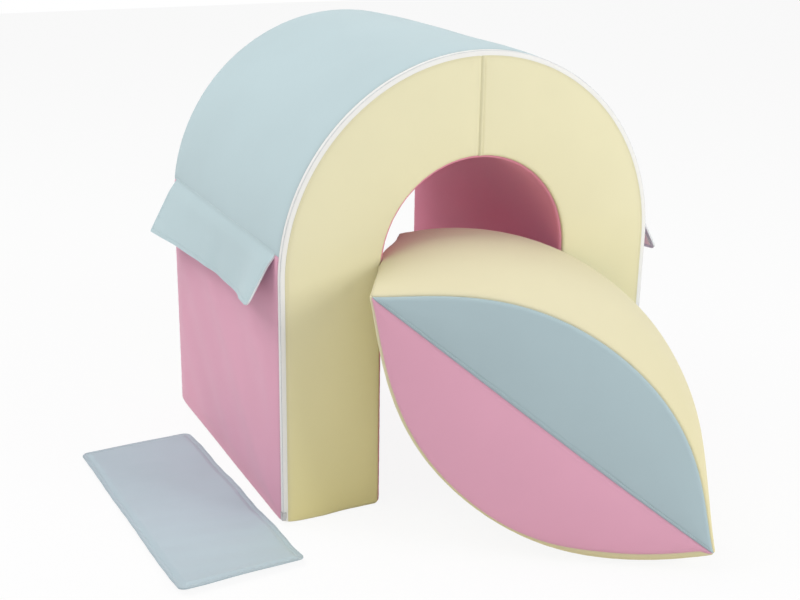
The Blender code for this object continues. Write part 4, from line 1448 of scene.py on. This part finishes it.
line, radial = rocker_edge_line(COIL / 2)
across = (radial - np.array([0.0, 1.0, 0.0])) @ ROCKER_AXES
lay_row("rocker_coil", to_rocker(line), across, "rocker", coil_nylon, LINK_PITCH,
        LINK_SIZE, LINK_SLANT, ["rocker_zip_coil"])

for node in ("arch_zip_slider", "rocker_zip_slider"):
    slider = frame["nodes"][node]
    slider.data.materials.clear()
    slider.data.materials.append(slider_paint)

# %% [markdown]
# ## Stitches
# Rows of thread hold the hems beside the zips, the lap at the crown and the lap along the
# rocker's chord. Each row lies in the dip that its panel already has there.

# %% Stitch rows
STITCH_PITCH = 0.0034
STITCH = (0.0006, 0.0006, 0.0026)
THREAD_LEVEL = -0.0003       # threads are pulled into the cloth
ROW_FOOT = 0.004             # a row beside the zip starts this far above the floor
CROWN_ROW_ENDS = (0.008, 0.004)  # from the tunnel, and from the hem, to the crown's row
CROWN_ROW_LIFT = 0.0012      # how far that row stands out from the flat face
CHORD_ROW_END = 0.016        # from a tip of the lens to the row along its chord


def hem_rows():
    """Stitches beside the arch's zip, on the face and on the outer side."""
    along = stations(OUTER_PATH - 2 * ROW_FOOT) + ROW_FOOT
    turn = np.clip((along - ARCH_SPRING) / ARCH_RADIUS, 0, math.pi)
    from_edge = FACE_TAPE + FOLD_STITCH
    x, z = round_the_arch(along, ARCH_RADIUS, ARCH_SPRING)
    face_line = np.stack([x + from_edge * np.cos(turn), np.zeros_like(x),
                          z - from_edge * np.sin(turn)], -1)
    side_line = np.stack([x, np.full_like(x, SIDE_TAPE + FOLD_STITCH), z], -1)
    return [line_on_arch(face_line), line_on_arch(side_line)]


def line_on_arch(sharp):
    """A line of the sharp arch laid on its cover."""
    points, outward = soften_arch(sharp)
    return points + outward * THREAD_LEVEL + ARCH_ORIGIN


face_row, side_row = hem_rows()
lay_row("arch_face_stitches", face_row, None, "arch", yellow_thread,
        STITCH_PITCH, STITCH)
seam_places = np.searchsorted(np.cumsum(np.linalg.norm(np.diff(side_row, axis=0), axis=1)),
                              [ROOF_START - ROW_FOOT, OUTER_PATH - ROOF_START - ROW_FOOT])
left_row, roof_row, right_row = np.split(side_row, seam_places)
lay_row("arch_roof_stitches", roof_row, None, "arch", blue_thread,
        STITCH_PITCH, STITCH)
lay_row("arch_side_stitches", [left_row, right_row], None, "arch", pink_thread,
        STITCH_PITCH, STITCH)

crown_z = np.linspace(TUNNEL_SPRING + TUNNEL_RADIUS + CROWN_ROW_ENDS[0],
                      ARCH_SPRING + ARCH_RADIUS - FACE_TAPE - CROWN_ROW_ENDS[1], 30)
crown_x = np.full_like(crown_z, LAP_ROW)
crown_row = line_on_arch(np.stack([crown_x, np.zeros_like(crown_z), crown_z], -1))
crown_row[:, 1] -= CROWN_ROW_LIFT
lay_row("arch_crown_stitches", crown_row, None, "arch", yellow_thread,
        STITCH_PITCH, STITCH)

chord_x = np.linspace(-CHORD / 2 + CHORD_ROW_END, CHORD / 2 - CHORD_ROW_END, 80)
chord_rows = []
for y, way, level, bulge in ((0.0, -1, 0.0006, NEAR_BULGE), (ROCKER_WIDTH, 1, 0.0, FAR_BULGE)):
    row = np.stack([chord_x, np.full_like(chord_x, y), np.full_like(chord_x, LAP_ROW)], -1)
    row[:, 1] += way * (level + bulge * face_bulge(row[:, 0], row[:, 2]))
    chord_rows.append(to_rocker(row))
lay_row("rocker_chord_stitches", chord_rows, None, "rocker", blue_thread,
        STITCH_PITCH, STITCH)

# %% [markdown]
# ## Flaps
# A flap is two layers of cloth sewn into the roof seam, with a hook band on its underside. It
# stands out from the side at both ends and lies closer to it in between, as cloth does that
# was folded for storage, and its front corner curls. One function gives the middle surface,
# and the layers lie on both sides of it.

# %% Flap surface
FLAP_PLACES = (0.0, 0.036, 0.060, 0.090, 0.120, 0.160, 0.205, 0.265, 0.305, 0.353, 0.405, 0.450)
FLAP_LIFTS = (29.8, 26.0, 20.8, 14.5, 12.2, 12.0, 13.0, 16.0, 18.5, 22.3, 26.4, 28.4)  # degrees
FLAP_DROPS = (79.5, 80.0, 83.0, 84.5, 84.5, 84.5, 84.5, 85.5, 87.0, 88.0, 91.5, 94.8)  # mm
FLAP_SMOOTHING = 0.045       # length over which one lift slides into the next
FLAP_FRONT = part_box("left_flap_outer")[0].y
FLAP_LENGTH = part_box("left_flap_outer")[1].y - FLAP_FRONT
FLAP_FULL_DROP = max(FLAP_DROPS) / 1000
FLAP_FOLDS = ((0.0020, 0.235, 0.020), (-0.0016, 0.190, 0.022))  # height, place and width
FLAP_RIPPLE = (0.0008, 0.135, 0.6)  # height, length and start
FRONT_CORNER = 0.0105
BACK_CORNER = 0.0030


def glide(place, values):
    """A value along the flap, slid smoothly from one given place to the next."""
    fine = np.linspace(-FLAP_SMOOTHING, FLAP_LENGTH + FLAP_SMOOTHING, 500)
    listed = np.interp(fine, FLAP_PLACES, values)
    window = np.hanning(round(FLAP_SMOOTHING / (fine[1] - fine[0])))
    return np.interp(place, fine, np.convolve(listed, window / window.sum(), mode="same"))


def round_corners(x, y, inner_x, inner_y):
    """Points of a grid with square corners, drawn in onto round ones about inner points."""
    away = np.stack([x - inner_x, y - inner_y], -1)
    most = np.abs(away).max(axis=-1, keepdims=True)
    length = np.maximum(np.linalg.norm(away, axis=-1, keepdims=True), 1e-9)
    drawn = away * most / length
    return inner_x + drawn[..., 0], inner_y + drawn[..., 1]


def round_flap_corners(along, down, drop):
    """The two free corners of the flap's grid drawn in onto round ones."""
    radius = np.where(along < FLAP_LENGTH / 2, FRONT_CORNER, BACK_CORNER)
    return round_corners(along, down, np.clip(along, radius, FLAP_LENGTH - radius),
                         np.minimum(down, drop - radius))


def flap_surface(side, hinge, along, share, rounded=True):
    """Points of a flap from the way along it and the share of its drop, and the way outwards."""
    drop = glide(along, FLAP_DROPS) / 1000
    down = share * drop
    if rounded:
        along, down = round_flap_corners(along, down, drop)
    lift = np.radians(glide(along, FLAP_LIFTS))
    hanging = np.maximum(down, 0)
    over = np.minimum(down, 0)
    fold = sum(height * hump(along, place, width) for height, place, width in FLAP_FOLDS)
    height, length, start = FLAP_RIPPLE
    ripple = height * np.sin(along * 2 * math.pi / length + start)
    off = (fold + ripple) * smooth(share, 0.1, 1.0)
    x = side * (hanging * np.sin(lift) + over * np.sin(ROOF_ANGLE) + off * np.cos(lift))
    z = -hanging * np.cos(lift) - over * np.cos(ROOF_ANGLE) + off * np.sin(lift)
    outward = np.stack([side * np.cos(lift), np.zeros_like(lift), np.sin(lift)], -1)
    return np.stack([hinge[0] + x, FLAP_FRONT + along, hinge[1] + z], -1), outward


print("flap", round(FLAP_LENGTH, 4), "long, drop up to", FLAP_FULL_DROP)

# %% [markdown]
# ### Two layers of cloth
# The outer layer and the lining lie on the two sides of the middle surface and part a little
# between their sewn edges. The top edge is sunk into the roof seam. The blend bends the cloth
# softly there.

# %% Layers of a flap
FLAP_OVERLAP = 0.0036        # how far the flap's top reaches up over the roof seam
SEWN_REACH = 0.026           # how far down its top edge is drawn in by the seam
SEWN_DEPTH = 0.0030
BEND_REACH = 0.014           # how far below its seam the flap is as free as it gets
FLAP_HEM = 0.0062            # from the edge to the row of stitches
LAYER = 0.0013
LAYER_SPACE = 0.0003         # between the two layers and the middle surface


def flap_layers(word, side, hinge):
    """The outer layer and the lining, which part a little between their sewn edges."""
    path = stations(FLAP_LENGTH, 0.0016, 0.005)
    top = -FLAP_OVERLAP / FLAP_FULL_DROP
    share = top + stations(FLAP_FULL_DROP + FLAP_OVERLAP, 0.0013, 0.004) / FLAP_FULL_DROP
    along, share = np.meshgrid(path, share, indexing="ij")
    middle, outward = flap_surface(side, hinge, along, share)
    down = share * FLAP_FULL_DROP
    edge = np.minimum.reduce([along, FLAP_LENGTH - along, FLAP_FULL_DROP - down])
    apart = LAYER_SPACE * (1 - np.exp(-edge / 0.004))
    dip = 0.6 * STITCH_DIP * hump(edge, FLAP_HEM, STITCH_SPREAD)
    sewn_in = SEWN_DEPTH * (1 - smooth(down, -FLAP_OVERLAP, SEWN_REACH))
    cloth = np.stack([along, down], -1)
    seam = 0.6 * np.exp(-np.abs(down) / 0.002)
    for name, node, height in (("cover", "outer", LAYER + apart - dip),
                               ("lining_cover", "lining", dip - apart)):
        points = middle + outward * (height - sewn_in)[..., None]
        mesh = shell(f"{word}_flap_{name}", points, outward, cloth, seam, LAYER)
        piece = add_piece(f"{word}_flap_{name}", mesh, blue_cover, None,
                          [f"{word}_flap_{node}"], cut_edge)
        hinge[1] + FLAP_OVERLAP
        hinge[1] - BEND_REACH
        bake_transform(piece)


# %% [markdown]
# ### What a flap carries
# The hook band lies flat under the lining, and a row of stitches runs round the three free
# edges. Both read the same surface as the cloth, so they follow its waves, and both turn with
# the flap's own body. The band can't be seen in the photograph, so its place is a guess.

# %% Hook bands, stitches and both flaps
HOOK_SHARES = (0.62, 0.90)   # where the hook band lies, in shares of the flap's drop
HOOK_BAND = 0.0012           # thickness of a hook band


def flap_hooks(word, side, hinge):
    """The hook band under the flap's lining."""
    low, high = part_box(f"{word}_flap_hook_band")
    along = np.linspace(low.y - FLAP_FRONT, high.y - FLAP_FRONT, 90)
    along, share = np.meshgrid(along, np.linspace(*HOOK_SHARES, 14), indexing="ij")
    points, outward = flap_surface(side, hinge, along, share, rounded=False)
    points = points - outward * (LAYER + LAYER_SPACE + 0.0001)
    mesh = shell(f"{word}_flap_hooks", points, outward, np.stack([along, share * 0.09], -1),
                 np.zeros_like(share), HOOK_BAND)
    add_piece(f"{word}_flap_hooks", mesh, hook_tape, f"{word}_flap",
              [f"{word}_flap_hook_band"])


def make_flap(word, side):
    """One flap with its hook band and the stitches round its three free edges."""
    place = joints[f"{word}_flap_hinge"]["pos_m"]
    hinge = (place[0], place[2])
    flap_layers(word, side, hinge)
    flap_hooks(word, side, hinge)
    low_share = 1 - FLAP_HEM / FLAP_FULL_DROP
    bottom = np.linspace(FLAP_HEM, FLAP_LENGTH - FLAP_HEM, 90)
    end_shares = np.linspace(BEND_REACH / FLAP_FULL_DROP, low_share, 24)
    rows = []
    for along, share in ((bottom, np.full(90, low_share)), (np.full(24, FLAP_HEM), end_shares),
                         (np.full(24, FLAP_LENGTH - FLAP_HEM), end_shares)):
        line, outward = flap_surface(side, hinge, along, share)
        rows.append(line + outward * (LAYER + LAYER_SPACE - 0.0002))
    lay_row(f"{word}_flap_stitches", rows, None, f"{word}_flap", blue_thread,
            STITCH_PITCH, STITCH)


make_flap("left", -1)
make_flap("right", 1)

# %% [markdown]
# ## Joining strip
# The strip is two layers of cloth round a thin foam sheet, sewn along a hem, with two hook
# bands underneath. It has lain folded, so its edges wave and its near end stands up a little.
# Its corners are rounded by the same trick as the blocks' edges, in two directions only.

# %% Strip frame and waves
STRIP_END_RISE = 0.0070      # how far the near end stands up
STRIP_END_REACH = 0.05       # share of the length over which it comes down
STRIP_EDGE_WAVES = ((1, 0.20, 0.0030, 0.145, 0.8),   # side, inner border as a share of the width,
                    (-1, 0.25, 0.0016, 0.190, 2.4))  # height, length and start
STRIP_CREASES = (0.0007, 0.083, 0.22)  # height, length and slant
strip_points = points_of("strip_top_fabric")
band_points = points_of("strip_hook_band_left")[:, :2]
lengthwise = np.linalg.svd(band_points - band_points.mean(axis=0), full_matrices=False)[2][0]
STRIP_Y = np.append(lengthwise * np.sign(lengthwise[1]), 0.0)
STRIP_X = np.array([STRIP_Y[1], -STRIP_Y[0], 0.0])
STRIP_MIDDLE = (strip_points.min(axis=0) + strip_points.max(axis=0)) / 2 * np.array([1, 1, 0])
STRIP_WIDTH = float(np.ptp(strip_points @ STRIP_X))
STRIP_LENGTH = float(np.ptp(strip_points @ STRIP_Y))
print("strip", round(STRIP_WIDTH, 4), "by", round(STRIP_LENGTH, 4))


def strip_waves(x, y):
    """How far the strip stands off the floor: its near end is raised and its edges wave."""
    to_near = (y + STRIP_LENGTH / 2) / STRIP_LENGTH
    near_end = STRIP_END_RISE * np.exp(-to_near / STRIP_END_REACH)
    near_end = near_end * (0.55 + 0.45 * np.cos(x / STRIP_WIDTH * 2.2))
    edges = 0
    for side, border, height, length, start in STRIP_EDGE_WAVES:
        edge = smooth(side * x, border * STRIP_WIDTH, 0.5 * STRIP_WIDTH) * height
        edges = edges + edge * (0.5 + 0.5 * np.sin(y * 2 * math.pi / length + start))
    height, length, slant = STRIP_CREASES
    creases = height * np.sin((y + slant * x) * 2 * math.pi / length) ** 2
    return near_end + edges + creases


# %% [markdown]
# ### Cloth round a foam sheet
# The two layers part at the edge, run flat along the hem and swell over the foam sheet inside.
# Everything in the strip adds the same waves to its own height, so the layers keep their order.

# %% Layers of the strip
STRIP_HEM = 0.0085
STRIP_ROW = STRIP_HEM - 0.0022  # from the strip's edge to its row of stitches
STRIP_CORNER = 0.012
STRIP_LEVEL = 0.0030         # height at which the two layers meet
STRIP_ROLL = 0.0012          # how soon they part at the edge, and how far
STRIP_PUFF = (0.0022, 0.0004)  # how far the upper and the lower layer swell
STRIP_CLOTH = 0.0010
STRIP_FOAM = 0.0014          # thickness of the foam sheet
STRIP_SPACING = (0.0012, 0.004)


def strip_layer(name, node, upper):
    """One layer of the strip: puffed over the foam sheet, flat along the hem."""
    x, y = np.meshgrid(stations(STRIP_WIDTH, *STRIP_SPACING) - STRIP_WIDTH / 2,
                       stations(STRIP_LENGTH, *STRIP_SPACING) - STRIP_LENGTH / 2, indexing="ij")
    edge = np.minimum(STRIP_WIDTH / 2 - np.abs(x), STRIP_LENGTH / 2 - np.abs(y))
    flat_x, flat_y = STRIP_WIDTH / 2 - STRIP_CORNER, STRIP_LENGTH / 2 - STRIP_CORNER
    x, y = round_corners(x, y, np.clip(x, -flat_x, flat_x), np.clip(y, -flat_y, flat_y))
    puff = smooth(edge, STRIP_HEM - 0.002, STRIP_HEM + 0.006)
    roll = 1 - np.exp(-edge / STRIP_ROLL)
    lift = strip_waves(x, y)
    if upper:
        z = STRIP_LEVEL + STRIP_ROLL * roll + STRIP_PUFF[0] * puff
        z = z - STITCH_DIP * hump(edge, STRIP_ROW, STITCH_SPREAD)
    else:
        z = STRIP_LEVEL - STRIP_ROLL * roll - STRIP_PUFF[1] * puff
    grid = x[..., None] * STRIP_X + y[..., None] * STRIP_Y + STRIP_MIDDLE
    grid[..., 2] = z + lift
    outward = np.zeros_like(grid)
    outward[..., 2] = 1 if upper else -1
    closeness = np.exp(-edge / SEAM_DARKENING_REACH)
    mesh = shell(name, grid, outward, np.stack([x, y], -1), closeness, STRIP_CLOTH)
    piece = add_piece(name, mesh, strip_cover, "strip", [node])


def strip_inside(name, node, x_range, y_half, low, thickness, material, facing):
    """A flat layer that follows the strip's waves."""
    x, y = np.meshgrid(np.linspace(*x_range, 24), np.linspace(-y_half, y_half, 90), indexing="ij")
    grid = x[..., None] * STRIP_X + y[..., None] * STRIP_Y + STRIP_MIDDLE
    grid[..., 2] = low + strip_waves(x, y) + (thickness if facing > 0 else 0)
    outward = np.zeros_like(grid)
    outward[..., 2] = facing
    mesh = shell(name, grid, outward, np.stack([y, x], -1), np.zeros_like(x), thickness)
    return add_piece(name, mesh, material, "strip", [node])


strip_layer("strip_top_cover", "strip_top_fabric", True)
strip_layer("strip_bottom_cover", "strip_bottom_fabric", False)
inside = STRIP_WIDTH / 2 - STRIP_HEM - 0.002
strip_foam = strip_inside("strip_foam_sheet", "strip_insert", (-inside, inside),
                          STRIP_LENGTH / 2 - STRIP_HEM - 0.002, STRIP_LEVEL, STRIP_FOAM, foam,
                          1)
for word, side in (("left", -1), ("right", 1)):
    band = points_of(f"strip_hook_band_{word}") - STRIP_MIDDLE
    reach = band @ STRIP_X
    strip_inside(f"strip_hooks_{word}", f"strip_hook_band_{word}", (reach.min(), reach.max()),
                 float(np.abs(band @ STRIP_Y).max()), 0.0, HOOK_BAND, hook_tape, -1)

# %% [markdown]
# ### The strip's stitches
# Four straight rows run along the hem and stop short of the round corners.

# %% Rows along the strip's hem
half_x, half_y = STRIP_WIDTH / 2 - STRIP_ROW, STRIP_LENGTH / 2 - STRIP_ROW
strip_rows = []
for start, end in (((-half_x, -half_y), (half_x, -half_y)), ((half_x, -half_y), (half_x, half_y)),
                   ((half_x, half_y), (-half_x, half_y)), ((-half_x, half_y), (-half_x, -half_y))):
    x = np.linspace(start[0], end[0], 80)
    y = np.linspace(start[1], end[1], 80)
    row = x[:, None] * STRIP_X + y[:, None] * STRIP_Y + STRIP_MIDDLE
    row[:, 2] = STRIP_LEVEL + STRIP_ROLL - STITCH_DIP + 0.0002 + strip_waves(x, y)
    strip_rows.append(row[2:-2])
lay_row("strip_stitches", strip_rows, None, "strip", blue_thread,
        STITCH_PITCH, STITCH)

# %% [markdown]
# ## Sizes of the finished set
# The cover may stand a little proud of the imported model, as cloth does. Both boxes are
# printed.

# %% Print both boxes
visual_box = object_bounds()
for name, box in (("CAD", cad_box), ("visual", visual_box)):
    print(name, [round(v, 4) for corner in box for v in corner])
